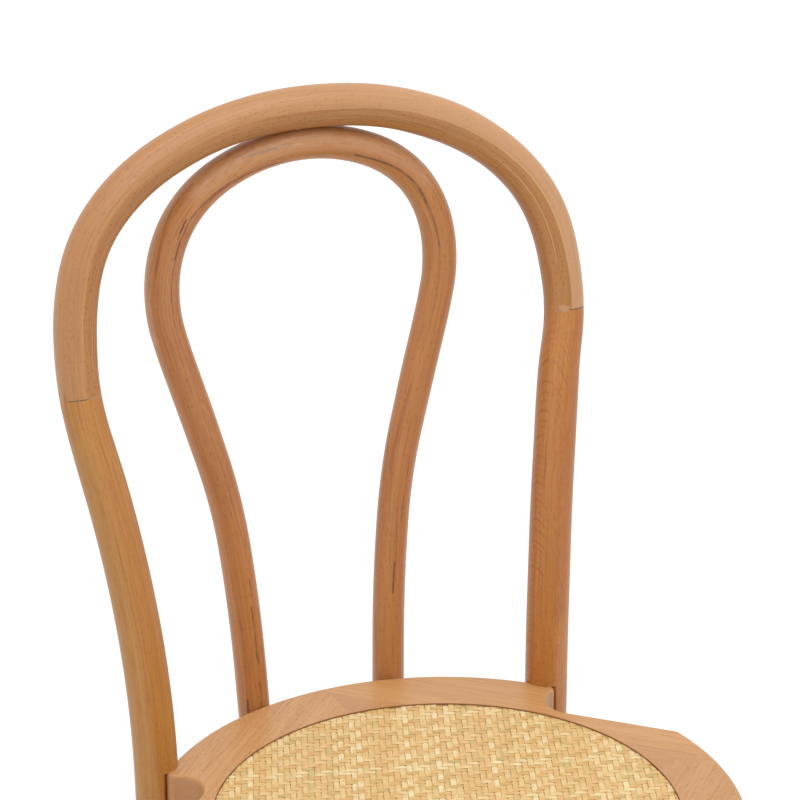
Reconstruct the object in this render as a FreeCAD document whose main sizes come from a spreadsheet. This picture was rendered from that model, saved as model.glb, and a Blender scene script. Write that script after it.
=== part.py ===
import FreeCAD, Part
import math
import os
import Sketcher

Vector = FreeCAD.Vector
Rotation = FreeCAD.Rotation
Placement = FreeCAD.Placement

# Driving dimensions, in millimetres and degrees. Heights of the back are above the seat's top.
SIZES = (
    ("seat_height", 450.0, "floor to the top of the seat ring"),
    ("ring_radius", 205.0, "outside of the seat ring"),
    ("ring_thickness", 38.0, "depth of the seat ring"),
    ("ring_bore", 150.0, "opening under the seat panel"),
    ("ring_arris", 2.5, "rounding of the ring's edges"),
    ("notch_flat", 169.0, "seat centre to the flat of a cut-out"),
    ("notch_round", 20.5, "radius of a cut-out's round end"),
    ("notch_middle", 156.9, "sideways place of that round end"),
    ("notch_corner", 6.0, "rounded corners where a cut-out meets the rim"),
    ("cane_radius", 161.5, "opening for the cane panel"),
    ("cane_drop", 1.0, "cane below the ring's top"),
    ("cane_thickness", 2.5, "woven mat"),
    ("cane_edge", 1.0, "rounded edge of the mat"),
    ("backing_thickness", 6.0, "plywood under the mat"),
    ("panel_gap", 0.2, "play round the panel"),
    ("arch_section", 15.0, "radius of the arch's round section"),
    ("crown_height", 435.3, "middle of the arch at its crown"),
    ("joint_height", 262.4, "finger joints between arch and rear legs"),
    ("arch_lean", 15.54, "backward lean of the arch"),
    ("crown_radius", 270.9, "flat curve over the crown"),
    ("crown_sweep", 23.27, "turn of that curve on each side"),
    ("shoulder_radius", 128.3, "tight curve at the shoulders"),
    ("shoulder_sweep", 61.69, "turn of that curve"),
    ("flank_radius", 269.6, "slack curve under the shoulders"),
    ("flank_lean", 11.3, "inward lean of the bow where the curve reverses"),
    ("finger_length", 14.0, "length of the fingers"),
    ("finger_count", 5, "finger tips across the section, an odd number"),
    ("finger_shoulder", 7.0, "flat shoulder before and behind the fingers"),
    ("waist_radius", 1340.0, "reversed curve down to the waist at the seat"),
    ("leg_splay", 2.5, "rear legs' sideways splay at the floor"),
    ("leg_bow", 1120.0, "side curve of the rear legs above the seat"),
    ("leg_rake", 1350.0, "side curve of the rear legs below the seat"),
    ("leg_seat_section", 15.5, "rear leg's radius at the seat"),
    ("leg_foot_section", 13.0, "rear leg's radius at the floor"),
    ("leg_let_in", 5.1, "housing of the ring in a rear leg"),
    ("leg_spare", 1.5, "rear leg's blank past the finger tips, before they are cut"),
    ("loop_section", 12.0, "radius of the inner loop's round section"),
    ("loop_crown_radius", 128.7, "curve over the loop's crown"),
    ("loop_crown_sweep", 25.42, "turn of that curve on each side"),
    ("loop_side_radius", 91.5, "curve round the loop's widest place"),
    ("loop_side_sweep", 80.23, "turn of that curve"),
    ("loop_straight", 102.5, "straight run into the neck"),
    ("loop_neck_radius", 456.5, "reversed curve at the neck"),
    ("loop_neck_sweep", 9.17, "turn of that curve"),
    ("loop_tail_radius", 1302.0, "slack reversed curve under the neck"),
    ("loop_tail_sweep", 4.2, "turn of that curve"),
    ("loop_let_in", 1.0, "housing of the ring in the loop's ends"),
    ("crown_contact", 8.5, "how far behind plumb the loop's crown lies under the arch"),
    ("front_leg_angle", 45.0, "front legs' place round the ring, from the front"),
    ("front_leg_inset", 27.0, "ring's edge to the middle of a front leg"),
    ("front_leg_splay", 5.0, "outward splay of the front legs"),
    ("front_leg_top", 17.5, "front leg's radius under the ring"),
    ("front_leg_foot", 12.5, "front leg's radius at the floor"),
    ("front_leg_bulge", 5200.0, "long curve of a front leg's side"),
    ("tenon_radius", 11.0, "round tenon in the ring"),
    ("tenon_length", 24.0, "depth of the tenon"),
    ("hoop_height", 240.0, "floor to the middle of the leg hoop"),
    ("hoop_section", 11.0, "radius of the leg hoop's round section"),
    ("contact_gap", 0.2, "between round pieces that bear on each other"),
    ("screw_shank", 2.5, "radius of the wood screws"),
    ("screw_head", 4.8, "radius of a countersunk head"),
    ("screw_head_depth", 2.6, "depth of that head"),
    ("screw_point", 4.0, "length of the point"),
    ("screw_sink", 1.5, "heads below the round wood"),
    ("hoop_screw_length", 36.0, "leg hoop to a leg"),
    ("loop_screw_length", 46.0, "loop's end to the ring"),
    ("crown_screw_length", 38.0, "loop's crown to the arch"),
    ("panel_screw_length", 33.0, "ring's ledge to the plywood"),
    ("panel_screw_angle", 24.0, "first panel screw's place round the ring"),
    ("bolt_shank", 3.0, "radius of a rear leg's bolt"),
    ("bolt_head", 7.0, "radius of its domed head"),
    ("bolt_head_height", 3.5, "height of that head"),
    ("bolt_dome", 10.0, "radius of its dome"),
    ("bolt_engagement", 14.0, "bolt's length inside the leg"),
    ("washer_radius", 8.0, "washer under the head"),
    ("washer_thickness", 1.5, "that washer"),
    ("insert_radius", 5.0, "threaded insert in a rear leg"),
    ("insert_length", 16.0, "that insert"),
    ("seat_face_depth", 2.0, "flat cut for a washer"),
    ("seat_face_play", 0.5, "round a washer"),
    ("dowel_radius", 5.0, "dowels across the ring's seams"),
    ("dowel_length", 40.0, "those dowels"),
    ("dowel_inner", 168.0, "seat centre to the inner dowels"),
    ("dowel_outer", 189.0, "seat centre to the outer dowels"),
    ("dowel_depth", 23.0, "ring's top to the dowels"),
    ("glide_radius", 10.0, "glides under the feet"),
    ("glide_thickness", 4.0, "those glides"),
    ("glide_edge", 1.0, "chamfer round a glide"),
    ("cut_margin", 10.0, "how far cutting shapes reach past the wood"),
)
SEGMENTS = (
    "seat_ring_rear_right",
    "seat_ring_rear_left",
    "seat_ring_front_left",
    "seat_ring_front_right",
)
LEG_STATIONS = 15
LOOP_REFINEMENTS = 5
TOLERANCE = 1e-3
SAMPLE = 0.5
SIDES = (("left", -1), ("right", 1))

doc = FreeCAD.newDocument("bentwood_chair")


def fill_sheet(name, rows):
    sheet = doc.addObject("Spreadsheet::Sheet", name)
    for line, (alias, value, note) in enumerate(rows, 1):
        sheet.set(f"A{line}", alias)
        sheet.set(f"B{line}", str(value))
        sheet.set(f"C{line}", note)
        sheet.setAlias(f"B{line}", alias)
    doc.recompute()
    return sheet


sizes = fill_sheet("sizes", SIZES)


def size(alias):
    return float(sizes.get(alias))


def turn(alias):
    return math.radians(size(alias))


def number(expression):
    return float(sizes.evalExpression(expression))


# Bodies, sketches and features


def new_body(name):
    return doc.addObject("PartDesign::Body", name)


def origin_plane(body, role):
    return next(feature for feature in body.Origin.OriginFeatures if feature.Role == role)


def new_sketch(body, name, role):
    sketch = body.newObject("Sketcher::SketchObject", name)
    sketch.AttachmentSupport = [(origin_plane(body, role), "")]
    sketch.MapMode = "FlatFace"
    return sketch


def dimension(sketch, kind, where, expression, unit=""):
    """A named constraint whose value follows an expression of the sheets."""
    value = number(expression)
    if unit == "deg":
        value = math.radians(value)
        expression = f"({expression}) * 1 deg"
    index = sketch.addConstraint(Sketcher.Constraint(kind, *where, value))
    name = f"size_{index}"
    sketch.renameConstraint(index, name)
    sketch.setExpression(f"Constraints.{name}", expression)


def place_point(sketch, point, x, y):
    """Pins a point of the sketch, on an axis where its expression is zero."""
    for expression, axis, kind in ((x, -2, "DistanceX"), (y, -1, "DistanceY")):
        if expression == "0":
            sketch.addConstraint(Sketcher.Constraint("PointOnObject", *point, axis))
        else:
            dimension(sketch, kind, (-1, 1, *point), expression)


def arc_between(start, end, radius):
    """Arc that bulges to the right of the way from start to end."""
    chord = end - start
    middle = (start + end) * 0.5
    left = Vector(-chord.y, chord.x, 0).normalize()
    centre = middle + left * math.sqrt(radius ** 2 - (chord.Length / 2) ** 2)
    angles = [math.atan2(point.y - centre.y, point.x - centre.x) for point in (start, end)]
    return Part.ArcOfCircle(Part.Circle(centre, Vector(0, 0, 1), radius), *angles)


def draw_outline(sketch, corners):
    """Closed outline. A corner is (x, y), or (x, y, radius) where an arc leads to the next one."""
    points = [Vector(number(corner[0]), number(corner[1]), 0) for corner in corners]
    for index, corner in enumerate(corners):
        start, end = points[index], points[(index + 1) % len(points)]
        if len(corner) == 3:
            edge = arc_between(start, end, number(corner[2]))
        else:
            edge = Part.LineSegment(start, end)
        sketch.addGeometry(edge, False)
    for index, corner in enumerate(corners):
        following = (index + 1) % len(corners)
        sketch.addConstraint(Sketcher.Constraint("Coincident", index, 2, following, 1))
        place_point(sketch, (index, 1), corner[0], corner[1])
        if len(corner) == 3:
            dimension(sketch, "Radius", (index,), corner[2])


def turned(name, corners):
    """Body turned about its own Z axis from an outline of (radius, height) corners."""
    body = new_body(name)
    sketch = new_sketch(body, f"{name}_outline", "XZ_Plane")
    draw_outline(sketch, corners)
    doc.recompute()
    feature = body.newObject("PartDesign::Revolution", f"{name}_turning")
    feature.Profile = sketch
    feature.ReferenceAxis = (sketch, ["V_Axis"])
    return body


def bow_body(name, crown, section, runs, end=None):
    """Round rod bent in its own XZ plane, with its crown on the Z axis: half is swept, then mirrored."""
    body = new_body(name)
    line = new_sketch(body, f"{name}_line", "XZ_Plane")
    draw_half_bow(line, crown, runs, end)
    circle = new_sketch(body, f"{name}_section", "YZ_Plane")
    centre = Vector(0, number(crown), 0)
    circle.addGeometry(Part.Circle(centre, Vector(0, 0, 1), number(section)), False)
    place_point(circle, (0, 3), "0", crown)
    dimension(circle, "Radius", (0,), section)
    doc.recompute()
    sweep = body.newObject("PartDesign::AdditivePipe", f"{name}_sweep")
    sweep.Profile = circle
    sweep.Spine = (line, [])
    doc.recompute()
    mirror = body.newObject("PartDesign::Mirrored", f"{name}_halves")
    mirror.Originals = [sweep]
    mirror.MirrorPlane = (origin_plane(body, "YZ_Plane"), [""])
    body.Tip = mirror
    return body


def draw_half_bow(sketch, crown, runs, end):
    """Tangent runs from the crown outwards and down, then straight to the height end, if it is given."""
    traced = traced_runs(number(crown), runs)
    for index, ((radius, sweep, way), run) in enumerate(zip(runs, traced)):
        if way == 0:
            sketch.addGeometry(Part.LineSegment(flat(run["start"]), flat(run["end"])), False)
            dimension(sketch, "Distance", (index,), radius)
            first, last = 1, 2
        else:
            span = [math.atan2(p[1] - run["centre"][1], p[0] - run["centre"][0])
                    for p in (run["start"], run["end"])]
            first, last = (2, 1) if way > 0 else (1, 2)
            if way > 0:
                span.reverse()
            circle = Part.Circle(flat(run["centre"]), Vector(0, 0, 1), run["radius"])
            sketch.addGeometry(Part.ArcOfCircle(circle, *span), False)
            dimension(sketch, "Radius", (index,), radius)
            dimension(sketch, "Angle", (index,), sweep, "deg")
        if index == 0:
            place_point(sketch, (0, first), "0", crown)
            sketch.addConstraint(Sketcher.Constraint("PointOnObject", 0, 3, -2))
        else:
            sketch.addConstraint(Sketcher.Constraint("Tangent", index - 1, ending, index, first))
        ending = last
    if end is not None:
        x, height, heading = traced[-1]["leaves"]
        run = (height - number(end)) / math.sin(heading)
        tip = Vector(x + run * math.cos(heading), number(end), 0)
        tail = sketch.addGeometry(Part.LineSegment(Vector(x, height, 0), tip), False)
        sketch.addConstraint(Sketcher.Constraint("Tangent", tail - 1, ending, tail, 1))
        dimension(sketch, "DistanceY", (-1, 1, tail, 2), end)


def solid(kind, name, placement=None, **expressions):
    """Part primitive whose properties follow expressions of the sheets."""
    made = doc.addObject(f"Part::{kind}", name)
    for prop, expression in expressions.items():
        made.setExpression(prop, str(expression))
    if placement is not None:
        made.Placement = placement
    return made


def boolean(kind, name, base, tool):
    made = doc.addObject(f"Part::{kind}", name)
    made.Base = base
    made.Tool = tool
    return made


def joined(name, members):
    made = doc.addObject("Part::MultiFuse", name)
    made.Shapes = members
    return made


def group(name, members):
    made = doc.addObject("Part::Compound", name)
    made.Links = members
    return made


# Centre lines of the bent pieces, as (sideways, along) in the plane that they are bent in


def flat(pair):
    return Vector(pair[0], pair[1], 0)


def trace(crown, runs):
    """Follows runs of (radius, sweep) or (length, 0) from a crown. Heading 0 is level, 90 straight down."""
    x, height, heading = 0.0, crown, 0.0
    traced = []
    for radius, sweep in runs:
        run = {"start": (x, height), "radius": radius, "way": (sweep > 0) - (sweep < 0)}
        if sweep == 0:
            x += radius * math.cos(heading)
            height -= radius * math.sin(heading)
        else:
            centre = (x - run["way"] * radius * math.sin(heading),
                      height - run["way"] * radius * math.cos(heading))
            heading += math.radians(sweep)
            x = centre[0] + run["way"] * radius * math.sin(heading)
            height = centre[1] + run["way"] * radius * math.cos(heading)
            run["centre"] = centre
        run["end"] = (x, height)
        run["leaves"] = (x, height, heading)
        traced.append(run)
    return traced


def half_width(traced, height):
    """Sideways place of a traced bow's flank at a height along its plane."""
    for run in traced:
        if run["end"][1] <= height <= run["start"][1] and run["way"] != 0:
            across = math.sqrt(run["radius"] ** 2 - (height - run["centre"][1]) ** 2)
            return run["centre"][0] + run["way"] * across
        if run["end"][1] <= height <= run["start"][1]:
            share = (run["start"][1] - height) / (run["start"][1] - run["end"][1])
            return run["start"][0] + share * (run["end"][0] - run["start"][0])
    x, last, heading = traced[-1]["leaves"]
    return x + (last - height) / math.tan(heading)


BOW_RUNS = (
    ("sizes.crown_radius", "sizes.crown_sweep", 1),
    ("sizes.shoulder_radius", "sizes.shoulder_sweep", 1),
    ("sizes.flank_radius", "90 + sizes.flank_lean - sizes.crown_sweep - sizes.shoulder_sweep", 1),
)
WAIST_RUN = ("sizes.waist_radius", "sizes.flank_lean + sizes.leg_splay", -1)
LOOP_RUNS = (
    ("sizes.loop_crown_radius", "sizes.loop_crown_sweep", 1),
    ("sizes.loop_side_radius", "sizes.loop_side_sweep", 1),
    ("sizes.loop_straight", "0", 0),
    ("sizes.loop_neck_radius", "sizes.loop_neck_sweep", -1),
    ("sizes.loop_tail_radius", "sizes.loop_tail_sweep", -1),
)


def traced_runs(crown, runs):
    return trace(crown, [(number(radius), number(sweep) * way) for radius, sweep, way in runs])


# The outer bow: its arch is flat and leans back, and its legs are curved on from it in side view
lean = turn("arch_lean")
arch_rise = (size("crown_height") - size("joint_height")) / math.cos(lean)
outer_bow = traced_runs(arch_rise, BOW_RUNS + (WAIST_RUN,))
seat_slope = math.asin(math.sin(lean) - size("joint_height") / size("leg_bow"))
seat_along = (seat_slope - lean) * size("leg_bow")
leg_seat_x = half_width(outer_bow, seat_along)
leg_reach = size("ring_radius") + size("leg_seat_section") - size("leg_let_in")
leg_seat_y = math.sqrt(leg_reach ** 2 - leg_seat_x ** 2)
joint_y = leg_seat_y + size("leg_bow") * (math.cos(seat_slope) - math.cos(lean))
arch_crown_y = joint_y + arch_rise * math.sin(lean)


def leg_point(along):
    """Middle of the right rear leg, above the seat centre, at a length along the bow from its joint."""
    x = half_width(outer_bow, along)
    if along > 0:
        y = joint_y + along * math.sin(lean)
        z = size("joint_height") + along * math.cos(lean)
    elif along > seat_along:
        slope = lean + along / size("leg_bow")
        y = joint_y + size("leg_bow") * (math.cos(lean) - math.cos(slope))
        z = size("joint_height") - size("leg_bow") * (math.sin(lean) - math.sin(slope))
    else:
        slope = seat_slope + (along - seat_along) / size("leg_rake")
        y = leg_seat_y + size("leg_rake") * (math.cos(seat_slope) - math.cos(slope))
        z = -size("leg_rake") * (math.sin(seat_slope) - math.sin(slope))
    return Vector(x, y, z)


def leg_way(along):
    """Direction of a rear leg's middle, up the leg."""
    return (leg_point(along + SAMPLE) - leg_point(along - SAMPLE)).normalize()


def leg_along(height):
    """Length along the bow, from its joint, where a rear leg's middle is at a height below the seat."""
    slope = math.asin(math.sin(seat_slope) + height / size("leg_rake"))
    return seat_along + (slope - seat_slope) * size("leg_rake")


def leg_radius(height):
    if height > size("joint_height"):
        return size("arch_section")
    if height > 0:
        share = height / size("joint_height")
        return size("leg_seat_section") + share * (size("arch_section") - size("leg_seat_section"))
    share = -height / size("seat_height")
    return size("leg_seat_section") + share * (size("leg_foot_section") - size("leg_seat_section"))


# The inner loop: its crown hangs under the arch's, and its ends bear on the ring's edge
hang = size("arch_section") + size("loop_section") + size("contact_gap")
loop_crown_y = arch_crown_y + hang * math.sin(turn("crown_contact"))
loop_crown_z = size("crown_height") - hang * math.cos(turn("crown_contact"))
loop_end_z = -size("ring_thickness") / 2
loop_reach = size("ring_radius") + size("loop_section") - size("loop_let_in")
loop_end_y = loop_reach
for refinement in range(LOOP_REFINEMENTS):
    loop_rise = math.hypot(loop_crown_y - loop_end_y, loop_crown_z - loop_end_z)
    loop_end_x = half_width(traced_runs(loop_rise, LOOP_RUNS), 0)
    loop_end_y = math.sqrt(loop_reach ** 2 - loop_end_x ** 2)
loop_lean = math.atan2(loop_crown_y - loop_end_y, loop_crown_z - loop_end_z)

# The whole chair stands with the middle of its box over the origin, on the floor
back_reach = max(arch_crown_y + size("arch_section"), loop_crown_y + size("loop_section"))
seat_y = (size("ring_radius") - back_reach) / 2


def at(x, y, z):
    """Place in the chair's frame of a point measured from the middle of the seat's top."""
    return Vector(x, y + seat_y, z + size("seat_height"))


def facing(point, direction):
    return Placement(point, Rotation(Vector(0, 0, 1), direction))


def leaning(point, angle):
    """Plane of a bent piece that leans back from upright."""
    return Placement(point, Rotation(Vector(1, 0, 0), -math.degrees(angle)))


# The leg hoop: a circle inside the four legs that bears on all of them
hoop_z = size("hoop_height") - size("seat_height")
splay = turn("front_leg_splay")
front_angle = turn("front_leg_angle")
front_outward = Vector(math.sin(front_angle), -math.cos(front_angle), 0)
front_axis = front_outward * math.sin(splay) + Vector(0, 0, -math.cos(splay))


def front_leg_point(side, height):
    """Middle of a front leg at a height below the seat's top."""
    drop = -size("ring_thickness") - height
    place = size("ring_radius") - size("front_leg_inset")
    out = front_outward * (place + drop * math.tan(splay))
    return Vector(side * out.x, out.y, height)


def front_leg_radius(height):
    share = (-size("ring_thickness") - height) / (size("seat_height") - size("ring_thickness"))
    straight = size("front_leg_top") + share * (size("front_leg_foot") - size("front_leg_top"))
    long_side = (size("seat_height") - size("ring_thickness")) / math.cos(splay)
    return straight + share * (1 - share) * long_side ** 2 / (2 * size("front_leg_bulge"))


rear_at_hoop = leg_point(leg_along(hoop_z))
rear_way = leg_way(leg_along(hoop_z))
front_at_hoop = front_leg_point(1, hoop_z)


def hoop_reaches(middle_y):
    """Radius that a hoop with its middle at middle_y may have at a rear leg and at a front leg."""
    reaches = []
    for leg, way, radius in ((rear_at_hoop, rear_way, leg_radius(hoop_z)),
                             (front_at_hoop, front_axis, front_leg_radius(hoop_z))):
        out = Vector(leg.x, leg.y - middle_y, 0)
        tilt = math.atan2(way.dot(out) / out.Length, way.z)
        bearing = (radius + size("hoop_section") + size("contact_gap")) / abs(math.cos(tilt))
        reaches.append(out.Length - bearing)
    return reaches


low, high = -size("ring_radius"), size("ring_radius")
while high - low > TOLERANCE:
    hoop_y = (low + high) / 2
    rear_reach, front_reach = hoop_reaches(hoop_y)
    if rear_reach > front_reach:
        low = hoop_y
    else:
        high = hoop_y
hoop_radius = min(hoop_reaches(hoop_y))

worked_out = fill_sheet("places", (
    ("arch_rise", arch_rise, "joint to crown, along the arch"),
    ("loop_rise", loop_rise, "ends on the ring to crown, along the loop"),
    ("loop_tail", loop_end_z / math.cos(loop_lean), "loop's ends, along the loop"),
    ("bow_reach", max(run["end"][0] for run in outer_bow), "widest place of the bow"),
    ("hoop_radius", hoop_radius, "middle of the leg hoop's section"),
    ("front_leg_length", (size("seat_height") - size("ring_thickness")) / math.cos(splay), "along the leg"),
    ("bolt_length", size("ring_radius") + size("bolt_engagement") - size("ring_bore")
     - size("seat_face_depth") + size("washer_thickness") + size("bolt_head_height"), "head to end"),
))

# Fasteners, each turned about its own axis with its head at the start


def wood_screw(name, length, placement):
    screw = turned(name, (
        ("0", "0"),
        ("sizes.screw_head", "0"),
        ("sizes.screw_shank", "sizes.screw_head_depth"),
        ("sizes.screw_shank", f"{length} - sizes.screw_point"),
        ("0", length),
    ))
    screw.Placement = placement
    return screw


def screw_mouth(name, placement):
    """Open end of a countersunk hole in round wood, in front of the screw's head."""
    mouth = solid("Cylinder", name, Radius="sizes.screw_head", Height="sizes.cut_margin")
    back = placement.Rotation.multVec(Vector(0, 0, -size("cut_margin")))
    mouth.Placement = Placement(placement.Base + back, placement.Rotation)
    return mouth


def sunk_screw(name, length, point, direction):
    """Screw whose head lies sunk behind the point where its axis enters round wood."""
    direction = direction.normalize()
    placement = facing(point + direction * size("screw_sink"), direction)
    return wood_screw(name, length, placement), screw_mouth(f"{name}_mouth", placement)


hoop_middle = at(0, hoop_y, hoop_z)
hoop_screws = []
hoop_mouths = []
for place, leg in (("rear", rear_at_hoop), ("front", front_at_hoop)):
    for side_name, side in SIDES:
        outward = Vector(side * leg.x, leg.y - hoop_y, 0).normalize()
        entry = hoop_middle + outward * (hoop_radius - size("hoop_section"))
        screw, mouth = sunk_screw(f"hoop_screw_{place}_{side_name}", "sizes.hoop_screw_length",
                                  entry, outward)
        hoop_screws.append(screw)
        hoop_mouths.append(mouth)

loop_screws = []
loop_mouths = []
for side_name, side in SIDES:
    outward = Vector(side * loop_end_x, loop_end_y, 0).normalize()
    entry = at(side * loop_end_x, loop_end_y, loop_end_z) + outward * size("loop_section")
    screw, mouth = sunk_screw(f"loop_screw_{side_name}", "sizes.loop_screw_length", entry, outward * -1)
    loop_screws.append(screw)
    loop_mouths.append(mouth)

up_to_arch = Vector(0, arch_crown_y - loop_crown_y, size("crown_height") - loop_crown_z).normalize()
crown_entry = at(0, loop_crown_y, loop_crown_z) - up_to_arch * size("loop_section")
crown_screw, crown_mouth = sunk_screw("crown_screw", "sizes.crown_screw_length", crown_entry, up_to_arch)

panel_screws = []
for quarter in range(len(SEGMENTS)):
    angle = turn("panel_screw_angle") + quarter * math.pi / 2
    ledge = (size("ring_bore") + size("cane_radius")) / 2
    foot = at(ledge * math.cos(angle), ledge * math.sin(angle), -size("ring_thickness"))
    panel_screws.append(wood_screw(f"panel_screw_{quarter + 1}", "sizes.panel_screw_length",
                                   facing(foot, Vector(0, 0, 1))))

bolts = []
washers = []
inserts = []
insert_holes = []
bolt_seats = []
ring_middle = at(0, 0, -size("ring_thickness") / 2)
for side_name, side in SIDES:
    outward = Vector(side * leg_seat_x, leg_seat_y, 0).normalize()
    seat = ring_middle + outward * (size("ring_bore") + size("seat_face_depth"))
    under_head = seat - outward * size("washer_thickness")
    bolt = turned(f"bolt_{side_name}", (
        ("0", "0", "sizes.bolt_dome"),
        ("sizes.bolt_head", "sizes.bolt_head_height"),
        ("sizes.bolt_shank", "sizes.bolt_head_height"),
        ("sizes.bolt_shank", "places.bolt_length"),
        ("0", "places.bolt_length"),
    ))
    bolt.Placement = facing(under_head - outward * size("bolt_head_height"), outward)
    bolts.append(bolt)
    washer = turned(f"washer_{side_name}", (
        ("sizes.bolt_shank", "0"),
        ("sizes.washer_radius", "0"),
        ("sizes.washer_radius", "sizes.washer_thickness"),
        ("sizes.bolt_shank", "sizes.washer_thickness"),
    ))
    washer.Placement = facing(under_head, outward)
    washers.append(washer)
    bolt_seats.append(solid("Cylinder", f"bolt_seat_{side_name}", facing(seat, outward * -1),
                            Radius="sizes.washer_radius + sizes.seat_face_play",
                            Height="sizes.cut_margin"))
    hole = solid("Cylinder", f"insert_hole_{side_name}",
                 facing(ring_middle + outward * size("ring_radius"), outward),
                 Radius="sizes.insert_radius", Height="sizes.insert_length")
    insert_holes.append(hole)
    inserts.append(boolean("Cut", f"insert_{side_name}", hole, bolt))

dowels = []
for quarter in range(len(SEGMENTS)):
    outward = Vector(math.cos(quarter * math.pi / 2), math.sin(quarter * math.pi / 2), 0)
    across = Vector(-outward.y, outward.x, 0)
    for row in ("dowel_inner", "dowel_outer"):
        middle = outward * size(row) - across * (size("dowel_length") / 2)
        dowels.append(solid("Cylinder", f"{row}_{quarter + 1}",
                            facing(at(middle.x, middle.y, -size("dowel_depth")), across),
                            Radius="sizes.dowel_radius", Height="sizes.dowel_length"))

# Front legs: turned and tapered, cut level at both ends, with a round tenon at the top
leg_slab = solid("Box", "leg_slab", Placement(
    at(-2 * size("ring_radius"), -2 * size("ring_radius"), size("glide_thickness") - size("seat_height")),
    Rotation()),
    Length="4 * sizes.ring_radius", Width="4 * sizes.ring_radius",
    Height="sizes.seat_height - sizes.ring_thickness - sizes.glide_thickness")
front_legs = []
tenons = []
for side_name, side in SIDES:
    axis = Vector(side * front_axis.x, front_axis.y, front_axis.z)
    top = front_leg_point(side, -size("ring_thickness"))
    down = facing(at(top.x, top.y, top.z) - axis * size("cut_margin"), axis)
    trunk = turned(f"front_leg_trunk_{side_name}", (
        ("0", "0"),
        ("sizes.front_leg_top", "0"),
        ("sizes.front_leg_top", "sizes.cut_margin", "sizes.front_leg_bulge"),
        ("sizes.front_leg_foot", "sizes.cut_margin + places.front_leg_length"),
        ("sizes.front_leg_foot", "2 * sizes.cut_margin + places.front_leg_length"),
        ("0", "2 * sizes.cut_margin + places.front_leg_length"),
    ))
    trunk.Placement = down
    cut_level = boolean("Common", f"front_leg_level_{side_name}", trunk, leg_slab)
    tenon = solid("Cylinder", f"tenon_{side_name}",
                  facing(down.Base + axis * 2 * size("cut_margin"), axis * -1),
                  Radius="sizes.tenon_radius", Height="sizes.tenon_length + sizes.cut_margin")
    tenons.append(tenon)
    front_legs.append(boolean("Fuse", f"front_leg_whole_{side_name}", cut_level, tenon))

# Seat ring: one blank with its rabbet, cut-outs and rounded edges, glued up from four boards
ring_blank = turned("ring_blank", (
    ("sizes.ring_bore", "-sizes.ring_thickness"),
    ("sizes.ring_radius", "-sizes.ring_thickness"),
    ("sizes.ring_radius", "0"),
    ("sizes.cane_radius", "0"),
    ("sizes.cane_radius", "-(sizes.cane_drop + sizes.cane_thickness + sizes.backing_thickness)"),
    ("sizes.ring_bore", "-(sizes.cane_drop + sizes.cane_thickness + sizes.backing_thickness)"),
))
ring_blank.Placement.Base = at(0, 0, 0)
doc.recompute()


def draw_notch(sketch):
    """Outline of the right cut-out: a flat across the corner, a round end, and a side back to the rim."""
    radius = size("notch_round")
    x = size("notch_middle")
    y = (size("notch_flat") + radius) * math.sqrt(2) - x
    outside = size("ring_radius") + size("cut_margin")
    tangent = Vector(x - radius / math.sqrt(2), y - radius / math.sqrt(2), 0)
    far = Vector(outside, tangent.y - (outside - tangent.x), 0)
    top = Vector(x, y + radius, 0)
    side = Vector(outside, top.y, 0)
    round_end = Part.ArcOfCircle(Part.Circle(Vector(x, y, 0), Vector(0, 0, 1), radius),
                                 math.radians(90), math.radians(225))
    edges = (Part.LineSegment(far, tangent), round_end, Part.LineSegment(top, side),
             Part.LineSegment(side, far))
    for edge in edges:
        sketch.addGeometry(edge, False)
    for relation in (("Tangent", 0, 2, 1, 2), ("Tangent", 1, 1, 2, 1), ("Coincident", 2, 2, 3, 1),
                     ("Coincident", 3, 2, 0, 1), ("Horizontal", 2), ("Vertical", 3)):
        sketch.addConstraint(Sketcher.Constraint(*relation))
    dimension(sketch, "Radius", (1,), "sizes.notch_round")
    dimension(sketch, "Angle", (1,), "90 + 45", "deg")
    dimension(sketch, "DistanceX", (-1, 1, 1, 3), "sizes.notch_middle")
    dimension(sketch, "Distance", (-1, 1, 0), "sizes.notch_flat")
    dimension(sketch, "DistanceX", (-1, 1, 3, 1), "sizes.ring_radius + sizes.cut_margin")


def round_edges(body, base, name, radius, chosen):
    """Fillet on the edges of a feature that chosen picks."""
    edges = [f"Edge{index}" for index, edge in enumerate(base.Shape.Edges, 1) if chosen(edge)]
    fillet = body.newObject("PartDesign::Fillet", name)
    fillet.Base = (base, edges)
    fillet.setExpression("Radius", radius)
    body.Tip = fillet
    doc.recompute()
    return fillet


def is_corner(edge):
    """Upright edge where a cut-out meets the rim."""
    box = edge.BoundBox
    upright = max(box.XLength, box.YLength) < TOLERANCE and box.ZLength > TOLERANCE
    return upright and abs(math.hypot(box.Center.x, box.Center.y) - size("ring_radius")) < TOLERANCE


def is_outer_edge(edge):
    """Edge of the ring's top or underside that runs along the rim or a cut-out."""
    box = edge.BoundBox
    outside = min(abs(box.ZMin), abs(box.ZMin + size("ring_thickness"))) < TOLERANCE
    level = box.ZLength < TOLERANCE and outside
    middle = edge.valueAt((edge.FirstParameter + edge.LastParameter) / 2)
    return level and math.hypot(middle.x, middle.y) > size("cane_radius") + size("ring_arris")


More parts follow.
